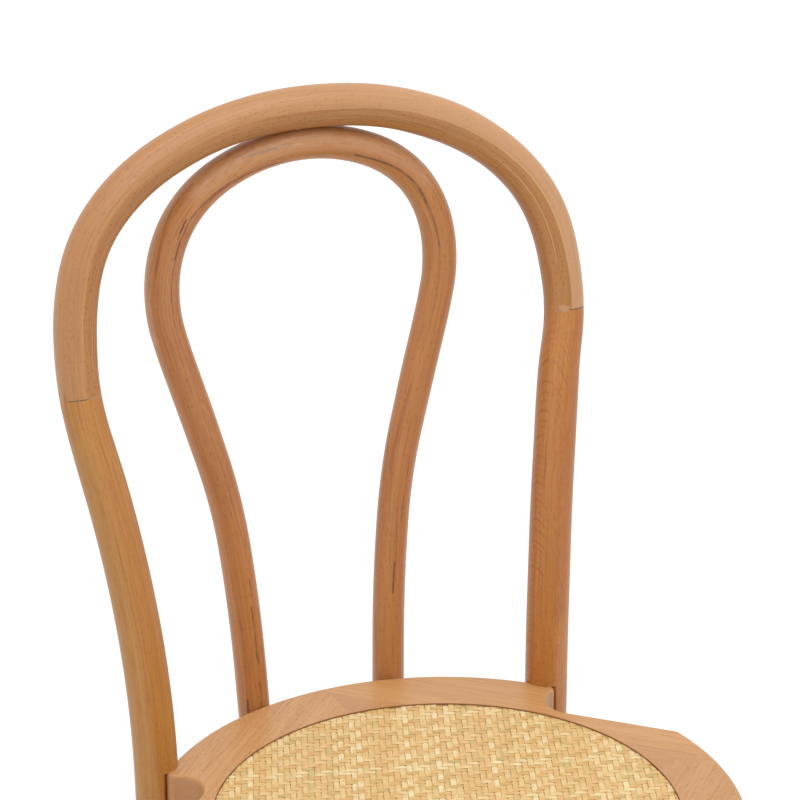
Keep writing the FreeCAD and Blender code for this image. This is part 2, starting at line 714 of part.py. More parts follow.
blank_volume = ring_blank.Shape.Volume
notch_sketch = new_sketch(ring_blank, "notch_outline", "XY_Plane")
draw_notch(notch_sketch)
doc.recompute()
notch = ring_blank.newObject("PartDesign::Pocket", "notch")
notch.Profile = notch_sketch
notch.Type = "ThroughAll"
doc.recompute()
notch_pair = ring_blank.newObject("PartDesign::Mirrored", "notch_pair")
notch_pair.Originals = [notch]
notch_pair.MirrorPlane = (origin_plane(ring_blank, "YZ_Plane"), [""])
ring_blank.Tip = notch_pair
doc.recompute()
if ring_blank.Shape.Volume >= blank_volume:
    raise RuntimeError("the cut-outs took nothing off the seat ring")
corners = round_edges(ring_blank, notch_pair, "notch_corners", "sizes.notch_corner", is_corner)
round_edges(ring_blank, corners, "ring_edges", "sizes.ring_arris", is_outer_edge)

ring_holes = joined("ring_holes", tenons + bolts + bolt_seats + loop_screws + panel_screws + dowels)
ring_drilled = boolean("Cut", "ring_drilled", ring_blank, ring_holes)
ring_segments = []
for quarter, label in enumerate(SEGMENTS):
    wedge = solid("Cylinder", f"wedge_{quarter + 1}",
                  Placement(at(0, 0, -size("ring_thickness") - size("cut_margin")),
                            Rotation(Vector(0, 0, 1), 90 * quarter)),
                  Radius="sizes.ring_radius + sizes.cut_margin",
                  Height="sizes.ring_thickness + 2 * sizes.cut_margin", Angle="90")
    ring_segments.append(boolean("Common", label, ring_drilled, wedge))

# Seat panel: a cane mat on a plywood disc, dropped into the ring's rabbet
cane_panel = turned("cane_panel", (
    ("0", "-(sizes.cane_drop + sizes.cane_thickness)"),
    ("sizes.cane_radius - sizes.panel_gap", "-(sizes.cane_drop + sizes.cane_thickness)"),
    ("sizes.cane_radius - sizes.panel_gap", "-(sizes.cane_drop + sizes.cane_edge)", "sizes.cane_edge"),
    ("sizes.cane_radius - sizes.panel_gap - sizes.cane_edge", "-sizes.cane_drop"),
    ("0", "-sizes.cane_drop"),
))
cane_panel.Placement.Base = at(0, 0, 0)
backing = solid("Cylinder", "backing_disc",
                Placement(at(0, 0, -size("cane_drop") - size("cane_thickness") - size("backing_thickness")),
                          Rotation()),
                Radius="sizes.cane_radius - sizes.panel_gap", Height="sizes.backing_thickness")
seat_backing = boolean("Cut", "seat_backing", backing, group("panel_screw_holes", panel_screws))

# Outer bow: an arch, bent in one plane, that is finger-jointed to the rear legs
arch_place = leaning(at(0, joint_y, size("joint_height")), lean)
arch_bow = bow_body("arch_bow", "places.arch_rise", "sizes.arch_section", BOW_RUNS)
arch_bow.Placement = arch_place


def finger_outline():
    """Everything above the joint, seen from the side. Its lower edge has fingers between flat shoulders."""
    tips = int(size("finger_count"))
    spread = "(sizes.arch_section - sizes.finger_shoulder)"
    fingers = [(f"{2 * tip + 1 - tips} / {tips} * {spread}",
                "-sizes.finger_length / 2" if tip % 2 else "sizes.finger_length / 2") for tip in range(tips)]
    edge = "(sizes.arch_section + sizes.cut_margin)"
    top = "places.arch_rise + sizes.arch_section + sizes.cut_margin"
    front = [(f"-{edge}", "0"), (f"-{spread}", "0")]
    back = [(spread, "0"), (edge, "0")]
    return front + fingers + back + [(edge, top), (f"-{edge}", top)]


finger_block = new_body("finger_block")
finger_sketch = new_sketch(finger_block, "finger_outline", "YZ_Plane")
draw_outline(finger_sketch, finger_outline())
doc.recompute()
finger_pad = finger_block.newObject("PartDesign::Pad", "finger_pad")
finger_pad.Profile = finger_sketch
finger_pad.SideType = "Symmetric"
finger_pad.setExpression("Length", "2 * (places.bow_reach + sizes.arch_section + sizes.cut_margin)")
finger_block.Placement = arch_place
arch_cut = boolean("Common", "arch_cut", arch_bow, finger_block)
back_arch = boolean("Cut", "back_arch", arch_cut, crown_screw)
doc.recompute()

# Rear legs: round limbs that are bent in two directions and tapered, so they are lofted through circles


def leg_circle(side, along):
    middle = leg_point(along)
    way = leg_way(along)
    circle = Part.Wire(Part.makeCircle(leg_radius(middle.z)))
    across = Rotation(Vector(1, 0, 0), Vector(), Vector(side * way.x, way.y, way.z), "ZXY")
    circle.Placement = Placement(at(side * middle.x, middle.y, middle.z), across)
    return circle


def rear_leg_shape(side, tools):
    top = size("finger_length") / 2 + size("leg_spare")
    bottom = leg_along(-size("seat_height")) - size("cut_margin")
    stations = [top + (bottom - top) * step / (LEG_STATIONS - 1) for step in range(LEG_STATIONS)]
    limb = Part.makeLoft([leg_circle(side, along) for along in stations], True, False)
    floor = Part.makeBox(4 * size("ring_radius"), 4 * size("ring_radius"), size("seat_height"))
    floor.Placement.Base = at(-2 * size("ring_radius"), -2 * size("ring_radius"),
                              size("glide_thickness") - 2 * size("seat_height"))
    ring_body = Part.makeCylinder(size("ring_radius"), size("ring_thickness"),
                                  at(0, 0, -size("ring_thickness")))
    for tool in [floor, ring_body] + [tool.Shape for tool in tools]:
        limb = limb.cut(tool)
    return limb


rear_legs = []
for index, (side_name, side) in enumerate(SIDES):
    rear_leg = doc.addObject("Part::Feature", f"rear_leg_{side_name}")
    tools = (finger_block, insert_holes[index], hoop_screws[index])
    rear_leg.Shape = rear_leg_shape(side, tools)
    rear_leg.Placement = Placement()
    rear_legs.append(rear_leg)

front_leg_parts = []
for (side_name, side), whole, screw in zip(SIDES, front_legs, hoop_screws[len(SIDES):]):
    front_leg_parts.append(boolean("Cut", f"front_leg_{side_name}", whole, screw))

# Inner loop: bent in one plane like a keyhole, with its ends housed on the ring's edge
loop_bow = bow_body("loop_bow", "places.loop_rise", "sizes.loop_section", LOOP_RUNS, "places.loop_tail")
loop_bow.Placement = leaning(at(0, loop_end_y, loop_end_z), loop_lean)
loop_housing = solid("Cylinder", "loop_housing", Placement(at(0, 0, -size("ring_thickness")), Rotation()),
                     Radius="sizes.ring_radius", Height="sizes.ring_thickness")
loop_housed = boolean("Cut", "loop_housed", loop_bow, loop_housing)
loop_holes = joined("loop_holes", loop_screws + loop_mouths + [crown_screw, crown_mouth])
inner_loop = boolean("Cut", "inner_loop", loop_housed, loop_holes)

# Leg hoop, bent to a closed ring and screwed to the legs from inside
hoop_rod = solid("Torus", "hoop_rod", Placement(hoop_middle, Rotation()),
                 Radius1="places.hoop_radius", Radius2="sizes.hoop_section")
leg_hoop = boolean("Cut", "leg_hoop", hoop_rod, joined("hoop_holes", hoop_screws + hoop_mouths))

# Glides under the four feet
glides = []
for side_name, side in SIDES:
    rear_foot = leg_point(leg_along(size("glide_thickness") - size("seat_height")))
    front_foot = front_leg_point(side, size("glide_thickness") - size("seat_height"))
    for place, foot in (("rear", Vector(side * rear_foot.x, rear_foot.y, 0)), ("front", front_foot)):
        glide = turned(f"glide_{place}_{side_name}", (
            ("0", "0"),
            ("sizes.glide_radius - sizes.glide_edge", "0"),
            ("sizes.glide_radius", "sizes.glide_edge"),
            ("sizes.glide_radius", "sizes.glide_thickness"),
            ("0", "sizes.glide_thickness"),
        ))
        glide.Placement.Base = at(foot.x, foot.y, -size("seat_height"))
        glides.append(glide)

sub_parts = [back_arch, inner_loop, cane_panel, seat_backing, leg_hoop, crown_screw]
sub_parts += rear_legs + ring_segments + front_leg_parts
for name, members in (("leg_hoop_screws", hoop_screws), ("loop_end_screws", loop_screws),
                      ("panel_screws", panel_screws), ("rear_leg_bolts", bolts),
                      ("rear_leg_washers", washers), ("rear_leg_inserts", inserts),
                      ("ring_dowels", dowels), ("foot_glides", glides)):
    sub_parts.append(group(name, members))
doc.recompute()

# Nothing is written unless the whole document is sound
for item in doc.Objects:
    if "Invalid" in item.State or "Error" in item.State:
        raise RuntimeError(f"{item.Label} failed: {item.State}")
for part in sub_parts:
    if part.Shape.isNull() or not part.Shape.isValid():
        raise RuntimeError(f"{part.Label} has no sound shape")

os.makedirs("parts", exist_ok=True)
for part in sub_parts:
    part.Shape.exportStep(f"parts/{part.Label}.step")
    print(part.Label, len(part.Shape.Solids), round(part.Shape.Volume / 1000, 1), "cm3")
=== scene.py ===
import bpy
import math
import numpy
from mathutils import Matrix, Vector


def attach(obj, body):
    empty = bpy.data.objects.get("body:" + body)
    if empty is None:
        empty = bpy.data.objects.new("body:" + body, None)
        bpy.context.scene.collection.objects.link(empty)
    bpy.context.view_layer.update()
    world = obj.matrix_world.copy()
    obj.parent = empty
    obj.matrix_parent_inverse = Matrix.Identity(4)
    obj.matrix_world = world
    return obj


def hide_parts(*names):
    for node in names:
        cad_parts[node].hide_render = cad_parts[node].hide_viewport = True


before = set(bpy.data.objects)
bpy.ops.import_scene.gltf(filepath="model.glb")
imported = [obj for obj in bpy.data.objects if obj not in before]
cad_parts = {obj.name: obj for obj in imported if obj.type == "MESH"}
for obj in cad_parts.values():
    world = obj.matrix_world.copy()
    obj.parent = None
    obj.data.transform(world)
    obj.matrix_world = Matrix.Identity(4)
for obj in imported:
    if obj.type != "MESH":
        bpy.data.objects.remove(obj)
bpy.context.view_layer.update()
bpy.ops.object.select_all(action="DESELECT")

# Seat ring: four beech boards, dowelled end to end into a circle, then rabbeted for the panel, cut out
# at the back corners and rounded over. Each board's grain runs along its chord and turns at the seams.
SEAT_CENTRE = Vector((0.0, -0.024923, 0.450))
RING_RADIUS = 0.205
RING_THICKNESS = 0.038
RING_CHORDS = {
    "seat_ring_rear_right": (1.0, -1.0, 0.0),
    "seat_ring_rear_left": (1.0, 1.0, 0.0),
    "seat_ring_front_left": (1.0, -1.0, 0.0),
    "seat_ring_front_right": (1.0, 1.0, 0.0),
}
RING_GLUE_LINE = 0.198
RABBET_RADIUS = 0.162
RING_TONES = ((0.576, 0.305, 0.122), (0.536, 0.270, 0.099))
RING_DARKER_TONES = ((0.530, 0.276, 0.112), (0.490, 0.244, 0.091))
BEECH_PALE = (0.530, 0.222, 0.046)
BEECH_DEEP = (0.450, 0.165, 0.026)
BEECH_OLIVE = (0.480, 0.222, 0.042)
BEECH_ROSE = (0.545, 0.218, 0.072)
BEECH_HAIR = (0.640, 0.350, 0.110)
BEECH_MARK = (0.230, 0.062, 0.012)


def node(tree, kind, inputs=None, **settings):
    """A shader node. An input is a plain value, or the output of another node that feeds it."""
    made = tree.nodes.new("ShaderNode" + kind)
    for name, value in settings.items():
        setattr(made, name, value)
    for key, value in (inputs or {}).items():
        socket = made.inputs[key]
        if isinstance(value, bpy.types.NodeSocket):
            tree.links.new(value, socket)
        elif socket.type == "RGBA" and len(value) == 3:
            socket.default_value = (*value, 1.0)
        else:
            socket.default_value = value
    return made


def reckon(tree, operation, *values):
    return node(tree, "Math", dict(enumerate(values)), operation=operation).outputs[0]


def vector(tree, operation, *values):
    """Vector arithmetic. A length, or the product of two directions, comes out as a number."""
    made = node(tree, "VectorMath", dict(enumerate(values)), operation=operation)
    return made.outputs["Value" if operation in ("LENGTH", "DOT_PRODUCT") else "Vector"]


def graded(tree, value, span, result):
    """A value within one span, led evenly over another and held at its ends."""
    ends = {"From Min": span[0], "From Max": span[1], "To Min": result[0], "To Max": result[1]}
    return node(tree, "MapRange", {"Value": value, **ends}).outputs[0]


def rise(tree, value, low, high):
    """Smooth step from 0 at low to 1 at high."""
    span = {"Value": value, "From Min": low, "From Max": high}
    return node(tree, "MapRange", span, interpolation_type="SMOOTHSTEP").outputs[0]


def tint(tree, share, first, second):
    return node(tree, "Mix", {0: share, 6: first, 7: second}, data_type="RGBA").outputs[2]


def stretched(tree, place, along, across):
    """Coordinates counted in cells of one length along the grain and another across it."""
    return vector(tree, "MULTIPLY", place, (1 / along, 1 / across, 1 / across))


def cloud(tree, place, along, across, detail=2.0):
    cells = stretched(tree, place, along, across)
    return node(tree, "TexNoise", {"Vector": cells, "Scale": 1.0, "Detail": detail}).outputs[0]


def flecks(tree, place, length, width, share):
    """Lens-shaped marks along the grain, in a share of the cells that they are strewn over."""
    cells = stretched(tree, place, length, width)
    strewn = node(tree, "TexVoronoi", {"Vector": cells, "Scale": 1.0})
    near = rise(tree, strewn.outputs["Distance"], 0.42, 0.14)
    chance = node(tree, "SeparateColor", {0: strewn.outputs["Color"]}).outputs[0]
    chosen = rise(tree, chance, 1.0 - share, 1.02 - share)
    return reckon(tree, "MULTIPLY", near, chosen)


def object_place(tree):
    return node(tree, "TexCoord").outputs["Object"]


def grain_lines(tree, direction):
    """Coordinates with X along the grain: a board's direction, or a bent rod's own straight bar."""
    if direction is None:
        return node(tree, "Attribute", attribute_name="bar").outputs["Vector"]
    turn = Vector(direction).rotation_difference(Vector((1.0, 0.0, 0.0))).to_euler()
    return node(tree, "Mapping", {"Vector": object_place(tree), "Rotation": turn}).outputs[0]


def blank_finish(name):
    material = bpy.data.materials.new(name)
    material.use_nodes = True
    return material, material.node_tree


def overlaid(tree, colour, layers):
    """Colours laid one over another. Layers are (where, share, colour)."""
    for where, share, laid in layers:
        colour = tint(tree, reckon(tree, "MULTIPLY", where, share), colour, laid)
    return colour


def coat(tree, colour, rough, height, strength, distance):
    """Feeds a finish's colour, roughness and bump to its shader."""
    shader = tree.nodes["Principled BSDF"]
    bump = node(tree, "Bump", {"Strength": strength, "Distance": distance, "Height": height}).outputs[0]
    for socket, value in (("Base Color", colour), ("Roughness", rough), ("Normal", bump)):
        tree.links.new(value, shader.inputs[socket])


def beech(name, direction, pale=BEECH_PALE, deep=BEECH_DEEP, pith=(0.09, 0.03), slope=0.02, year=0.0026,
          year_depth=0.35, fleck=(0.0065, 0.0011), fleck_share=0.5, fleck_depth=0.45,
          streak_share=0.04, stripe=0.45, waver=0.006, year_edge=0.40, mark=BEECH_MARK, lines=None):
    """Lacquered beech: yearly rings round a pith beside the piece, stripes, fibres, flecks and streaks.
    A ring is about a year wide and darkens from year_edge on. Shares and depths go from 0 to 1."""
    material, tree = blank_finish(name)
    grain = lines(tree) if lines else grain_lines(tree, direction)
    axes = node(tree, "SeparateXYZ", {0: grain})
    tilted = reckon(tree, "MULTIPLY_ADD", axes.outputs[0], slope, axes.outputs[1])
    from_pith = node(tree, "CombineXYZ", {0: reckon(tree, "SUBTRACT", tilted, pith[0]),
                                          1: reckon(tree, "SUBTRACT", axes.outputs[2], pith[1])}).outputs[0]
    growth = vector(tree, "LENGTH", from_pith)
    growth = reckon(tree, "MULTIPLY_ADD", cloud(tree, grain, 0.11, 0.016), waver, growth)
    years = node(tree, "CombineXYZ", {0: reckon(tree, "DIVIDE", growth, year)}).outputs[0]
    growth = reckon(tree, "MULTIPLY_ADD", cloud(tree, years, 4.0, 1.0), 4.0 * year, growth)
    phase = reckon(tree, "FRACT", reckon(tree, "DIVIDE", growth, year))
    late = reckon(tree, "MULTIPLY", rise(tree, phase, year_edge, 0.90), rise(tree, phase, 1.0, 0.93))
    strong = graded(tree, cloud(tree, years, 1.7, 1.0), (0.35, 0.65), (0.25, 1.0))
    patch = rise(tree, cloud(tree, grain, 0.10, 0.011), 0.38, 0.60)
    late = reckon(tree, "MULTIPLY", reckon(tree, "MULTIPLY", late, strong), patch)
    drift = rise(tree, cloud(tree, grain, 0.35, 0.014, 3.0), 0.34, 0.66)
    fibre = cloud(tree, grain, 0.030, 0.0008, 3.0)
    small = flecks(tree, grain, fleck[0], fleck[1], fleck_share)
    streaks = flecks(tree, grain, 0.060, 0.0024, streak_share)
    aside = vector(tree, "ADD", grain, (0.310, 0.017, 0.023))
    olive = rise(tree, cloud(tree, grain, 0.20, 0.0026), 0.46, 0.62)
    rose = rise(tree, cloud(tree, aside, 0.26, 0.0034), 0.46, 0.62)
    hair = rise(tree, cloud(tree, aside, 0.30, 0.0013), 0.60, 0.70)
    colour = overlaid(tree, tint(tree, drift, pale, deep), (
        (olive, stripe, BEECH_OLIVE), (rose, stripe, BEECH_ROSE), (hair, stripe, BEECH_HAIR),
        (late, year_depth, mark), (rise(tree, fibre, 0.48, 0.72), 0.32, mark),
        (small, fleck_depth, mark), (streaks, 0.55, mark)))
    rough = graded(tree, fibre, (0.0, 1.0), (0.32, 0.46))
    coat(tree, colour, rough, reckon(tree, "SUBTRACT", fibre, small), 0.25, 0.00015)
    return material


def stain(material, share, colour):
    """Lays one more colour over a finished material, where share is 1."""
    tree = material.node_tree
    base = tree.nodes["Principled BSDF"].inputs["Base Color"]
    tree.links.new(tint(tree, share, base.links[0].from_socket, colour), base)


def dress(name, material):
    """Gives a CAD node its finish."""
    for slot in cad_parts[name].material_slots:
        slot.material = material


def end_grain(material, chord):
    """Sawn ends and the walls of the cut-outs, where the board shows darker end grain."""
    tree = material.node_tree
    facing = node(tree, "NewGeometry").outputs["Normal"]
    across = vector(tree, "DOT_PRODUCT", facing, Vector(chord).normalized())
    share = reckon(tree, "MULTIPLY", rise(tree, reckon(tree, "ABSOLUTE", across), 0.35, 0.95), 0.45)
    stain(material, share, (0.38, 0.165, 0.060))


def from_seat_middle(tree):
    return vector(tree, "SUBTRACT", object_place(tree), SEAT_CENTRE)


def rabbet_shade(material):
    """Painted shade in the narrow corner above the cane, together with glue and stain, darkening the rabbet's
    wall.
    """
    tree = material.node_tree
    out = vector(tree, "LENGTH", vector(tree, "MULTIPLY", from_seat_middle(tree), (1.0, 1.0, 0.0)))
    ragged = reckon(tree, "MULTIPLY_ADD", cloud(tree, object_place(tree), 0.006, 0.006), 0.0005, out)
    wall = rise(tree, ragged, RABBET_RADIUS + 0.00025, RABBET_RADIUS - 0.00025)
    stain(material, reckon(tree, "MULTIPLY", wall, 0.70), (0.170, 0.056, 0.018))


for board, chord in RING_CHORDS.items():
    flat_grain = board.endswith(("rear_left", "front_right"))
    pale, deep = RING_DARKER_TONES if board.endswith("front_right") else RING_TONES
    ring_beech = beech(
        f"ring_beech_{board.removeprefix('seat_ring_')}", chord, pale=pale, deep=deep,
        pith=(0.0, 0.30) if flat_grain else (0.20, 0.47), slope=0.0, year=0.004, year_depth=0.16,
        fleck=(0.0070, 0.0008) if flat_grain else (0.0120, 0.0009),
        fleck_share=0.55 if flat_grain else 0.25, fleck_depth=0.50 if flat_grain else 0.20,
        streak_share=0.0, stripe=0.10, mark=(0.250, 0.085, 0.018))
    end_grain(ring_beech, chord)
    rabbet_shade(ring_beech)
    if board.endswith("rear_right"):
        tree = ring_beech.node_tree
        reach = vector(tree, "DOT_PRODUCT", from_seat_middle(tree), (1.0, 1.0, 0.0))
        inside = rise(tree, reach, RING_GLUE_LINE + 0.0002, RING_GLUE_LINE - 0.0002)
        stain(ring_beech, reckon(tree, "MULTIPLY", inside, 0.26), (0.330, 0.135, 0.050))
    dress(board, ring_beech)

# Dowels and plywood: round beech dowels lie hidden across the ring's seams. A plywood disc, screwed from
# below through the ring's ledge, carries the cane.
dress("ring_dowels", beech("dowel_beech", (1.0, 0.0, 0.0), fleck_share=0.3))
plywood = beech("plywood", (0.0, 1.0, 0.0), pale=(0.60, 0.36, 0.17), deep=(0.50, 0.28, 0.12),
                pith=(0.0, 0.52), slope=0.03, year=0.003, year_depth=0.5)
tree = plywood.node_tree
# The plywood's top face under the cane is darkened: partly a glue film, partly painted shade in the small
# gaps between the cane strands.
upward = node(tree, "SeparateXYZ", {0: node(tree, "NewGeometry").outputs["Normal"]}).outputs[2]
stain(plywood, rise(tree, upward, 0.5, 0.9), (0.080, 0.040, 0.014))
dress("seat_backing", plywood)

# Cane seat: split cane in a twill of two over and two under, glued on the plywood and trimmed to the
# rabbet. Flat warp strands run to the front, rounder weft strands cross them a little out of square.
CANE_RADIUS = 0.1613
CANE_TOP = 0.449
CANE_LIFT = 0.00036
CANE_THICKNESS = 0.0007
WARP_TURN = math.radians(-23.1)
WARP_PITCH = 0.00428
WARP_COUNT = 76
WEFT_TURN = math.radians(-108.9)
WEFT_PITCH = 0.00448
WEFT_COUNT = 73


def cane_strands(name, own, other, width, crown, narrowing, lifts, seed):
    """One way of the weave: a strip along Y, arrayed across X, then led over and under the other way."""
    turn, pitch, count = own
    cross_turn, cross_pitch, cross_count = other
    span = cross_count * cross_pitch
    first = -(count - 1) / 2 * pitch
    bpy.ops.object.select_all(action="DESELECT")
    bpy.ops.mesh.primitive_grid_add(x_subdivisions=2, y_subdivisions=3 * cross_count, size=1.0)
    weave = bpy.context.object
    weave.name = name
    weave.scale = (width, span, 1.0)
    weave.location = (first, 0.0, 0.0)
    bpy.ops.object.transform_apply(location=True, rotation=True, scale=True)
    thick = weave.modifiers.new("thick", "SOLIDIFY")
    thick.thickness = CANE_THICKNESS
    thick.offset = 0.0
    row = weave.modifiers.new("row", "ARRAY")
    row.count = count
    row.use_relative_offset = False
    row.use_constant_offset = True
    row.constant_offset_displace = (pitch, 0.0, 0.0)
    bpy.ops.object.modifier_apply(modifier="thick")
    bpy.ops.object.modifier_apply(modifier="row")
    points = numpy.zeros(3 * len(weave.data.vertices))
    weave.data.vertices.foreach_get("co", points)
    points = points.reshape(-1, 3)
    strand = numpy.rint((points[:, 0] - first) / pitch).astype(int)
    across = points[:, 0] - first - strand * pitch
    crossing = numpy.rint(points[:, 1] / (cross_pitch / 3)) / 3 + (cross_count - 1) / 2
    skew = cross_turn - turn
    middle = first + strand * pitch
    reach = (crossing - (cross_count - 1) / 2) * cross_pitch
    points[:, 1] = (reach - middle * math.cos(skew)) / math.sin(skew)
    limit = numpy.sqrt(numpy.maximum(CANE_RADIUS ** 2 - (middle + across) ** 2, 0.0))
    points[:, 1] = numpy.clip(points[:, 1], -limit, limit)
    before = numpy.floor(crossing + 1e-6)
    share = numpy.clip((crossing - before - 0.10) / 0.80, 0.0, 1.0)
    share = share * share * (3.0 - 2.0 * share)
    lift = (1.0 - share) * lifts((strand + before) % 4) + share * lifts((strand + before + 1) % 4)
    dice = numpy.random.default_rng(seed)
    tone = dice.random(count)
    girth = dice.uniform(0.93, 1.02, count)
    sway = dice.uniform(0.0, 2.0 * math.pi, count)
    pinch = girth[strand] * (1.0 - narrowing * (1.0 - lift ** 2))
    wander = 0.00012 * numpy.sin(points[:, 1] / 0.009 + sway[strand])
    points[:, 0] = middle + across * pinch + wander
    points[:, 2] += CANE_LIFT * lift + crown * (1.0 - (2.0 * across / width) ** 2)
    weave.data.vertices.foreach_set("co", points.ravel())
    lay = numpy.stack([points[:, 1], across / width, tone[strand]], axis=1)
    weave.data.attributes.new("lay", "FLOAT_VECTOR", "POINT").data.foreach_set("vector", lay.ravel())
    bpy.ops.object.mode_set(mode="EDIT")
    bpy.ops.mesh.select_all(action="SELECT")
    bpy.ops.mesh.remove_doubles(threshold=1e-6)
    bpy.ops.mesh.normals_make_consistent(inside=False)
    bpy.ops.object.mode_set(mode="OBJECT")
    weave.rotation_euler = (0.0, 0.0, turn)
    weave.location = (SEAT_CENTRE.x, SEAT_CENTRE.y, CANE_TOP - CANE_LIFT - CANE_THICKNESS / 2 - crown)
    bpy.ops.object.transform_apply(location=True, rotation=True, scale=True)
    bpy.ops.object.shade_smooth_by_angle(angle=math.radians(50))
    return weave


def warp_lifts(order):
    return numpy.where(order < 2, 1.0, -1.0)


def weft_lifts(order):
    return numpy.where(order < 2, -1.0, 1.0)


def ramp(tree, value, stops):
    """Colours of a strand by chance: stops are (chance, colour)."""
    made = node(tree, "ValToRGB", {0: value})
    colours = made.color_ramp.elements
    while len(colours) < len(stops):
        colours.new(1.0)
    for stop, (chance, colour) in zip(colours, stops):
        stop.position = chance
        stop.color = (*colour, 1.0)
    return made.outputs[0]


def split_cane(name, stops):
    """Split cane: each strand has its own tone of straw, with fibres, blotches, edges and dark nodes."""
    material, tree = blank_finish(name)
    lay = node(tree, "Attribute", attribute_name="lay").outputs["Vector"]
    along, across, tone = node(tree, "SeparateXYZ", {0: lay}).outputs
    place = node(tree, "CombineXYZ", {0: along, 1: reckon(tree, "MULTIPLY", across, 0.0036),
                                      2: reckon(tree, "MULTIPLY", tone, 7.0)}).outputs[0]
    slow = cloud(tree, place, 0.013, 0.0060)
    blotch = cloud(tree, place, 0.007, 0.0024)
    fibre = cloud(tree, place, 0.012, 0.0005)
    spots = flecks(tree, place, 0.024, 0.0060, 0.012)
    edge = rise(tree, reckon(tree, "ABSOLUTE", across), 0.42, 0.54)
    drifting = reckon(tree, "ADD", reckon(tree, "MULTIPLY_ADD", tone, 0.60, -0.30), slow)
    colour = overlaid(tree, ramp(tree, drifting, stops), (
        (rise(tree, blotch, 0.52, 0.68), 0.55, (0.600, 0.330, 0.125)),
        (rise(tree, fibre, 0.48, 0.72), 0.28, (0.440, 0.250, 0.070)),
        (spots, 0.6, (0.240, 0.170, 0.110)),
        (edge, 0.30, (0.420, 0.210, 0.050))))
    coat(tree, colour, graded(tree, fibre, (0.0, 1.0), (0.40, 0.58)), fibre, 0.35, 0.0002)
    tree.nodes["Principled BSDF"].inputs["Specular IOR Level"].default_value = 0.30
    return material


warp_way = (WARP_TURN, WARP_PITCH, WARP_COUNT)
weft_way = (WEFT_TURN, WEFT_PITCH, WEFT_COUNT)
cane_warp = cane_strands("cane_warp", warp_way, weft_way, 0.00418, 0.00010, 0.14, warp_lifts, 7)
cane_warp.data.materials.append(split_cane("cane_warp", (
    (0.14, (0.770, 0.640, 0.370)), (0.32, (0.725, 0.540, 0.258)), (0.50, (0.690, 0.482, 0.208)),
    (0.66, (0.670, 0.420, 0.172)), (0.78, (0.640, 0.450, 0.184)), (0.88, (0.530, 0.420, 0.168)))))
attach(cane_warp, "root")
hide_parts("cane_panel")
cane_weft = cane_strands("cane_weft", weft_way, warp_way, 0.00408, 0.00030, 0.34, weft_lifts, 19)
cane_weft.data.materials.append(split_cane("cane_weft", (
    (0.14, (0.780, 0.655, 0.380)), (0.34, (0.730, 0.545, 0.258)), (0.52, (0.675, 0.458, 0.190)),
    (0.66, (0.625, 0.385, 0.146)), (0.80, (0.590, 0.415, 0.160)), (0.90, (0.480, 0.378, 0.150)))))
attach(cane_weft, "root")
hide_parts("cane_panel")

# Front legs: turned beech with a long taper and a round tenon glued into the ring. They stand under the
# ring's front quarters and splay outwards.
for side_name, side in (("left", -1.0), ("right", 1.0)):
    splay = math.radians(5.0)
    axis = (side * math.sqrt(0.5) * math.sin(splay), -math.sqrt(0.5) * math.sin(splay), -math.cos(splay))
    dress(f"front_leg_{side_name}", beech(f"leg_beech_front_{side_name}", axis, pith=(0.07, 0.05 * side)))

# Leg hoop: a steamed beech rod, bent to a closed ring and screwed to the four legs from inside. Its grain
# follows the ring.
HOOP_MIDDLE = Vector((0.0, 0.00254, 0.240))
HOOP_RADIUS = 0.18262


def hoop_grain(tree):
    """Object coordinates unrolled round the hoop."""
    local = vector(tree, "SUBTRACT", object_place(tree), HOOP_MIDDLE)
    axes = node(tree, "SeparateXYZ", {0: local})
    out = vector(tree, "LENGTH", vector(tree, "MULTIPLY", local, (1.0, 1.0, 0.0)))
    round_turn = reckon(tree, "ARCTAN2", axes.outputs[0], reckon(tree, "MULTIPLY", axes.outputs[1], -1.0))
    return node(tree, "CombineXYZ", {0: reckon(tree, "MULTIPLY", round_turn, HOOP_RADIUS),
                                     1: reckon(tree, "SUBTRACT", out, HOOP_RADIUS),
                                     2: axes.outputs[2]}).outputs[0]


dress("leg_hoop", beech("loop_beech_hoop", None, lines=hoop_grain, slope=0.01, pith=(0.05, 0.03)))

# Rear legs: long beech rods, steamed and bent in two directions, tapered to the floor. They are housed
# on the ring's edge, bolted to it from inside, and finger-jointed to the arch at the top.
ARCH_LEAN = math.radians(15.54)
ARCH_RISE = 0.17946
JOINT = Vector((0.0, SEAT_CENTRE.y + 0.190746, SEAT_CENTRE.z + 0.2624))
ARCH_SECTION = 0.015
BOW_RUNS = ((0.2709, 23.27), (0.1283, 61.69), (0.2696, 16.34))
WAIST_RUN = (1.340, -13.8)
LEG_BOW = 1.120
LEG_RAKE = 1.350
LEG_SEAT_SLOPE = math.radians(1.926953)
LEG_SEAT_ALONG = -0.266104
LEG_SEAT_BACK = 0.150436
LEG_SEAT_SECTION = 0.0155
LEG_FOOT_SECTION = 0.0130
LEG_TOP = 0.0180
LEG_BOTTOM = -0.7324
LEG_POINTS = 371
FOOT_HEIGHT = 0.004
FINGER_LENGTH = 0.014
FINGER_TIPS = 5
FINGER_SPREAD = 0.008
JOINT_SECTION = 0.0144
GLUE_GAP = 0.00012
GLUE_RISE = 0.0082
GLUE_ROLL = math.radians(-0.38)
GLUE_PLACE = JOINT + GLUE_RISE * Vector((0.0, math.sin(ARCH_LEAN), math.cos(ARCH_LEAN)))


def half_bow(crown, runs, step=0.002):
    """Points of (sideways, along) from a crown downwards: runs of (radius, turn) or (length, 0)."""
    x, height, heading = 0.0, crown, 0.0
    points = [(x, height)]
    for radius, turn in runs:
        length = radius * math.radians(abs(turn)) if turn else radius
        count = math.ceil(length / step)
        bend = math.radians(turn) / count
        chord = 2.0 * radius * math.sin(abs(bend) / 2.0) if turn else length / count
        for index in range(count):
            x += chord * math.cos(heading + bend / 2.0)
            height -= chord * math.sin(heading + bend / 2.0)
            heading += bend
            points.append((x, height))
    return points, heading


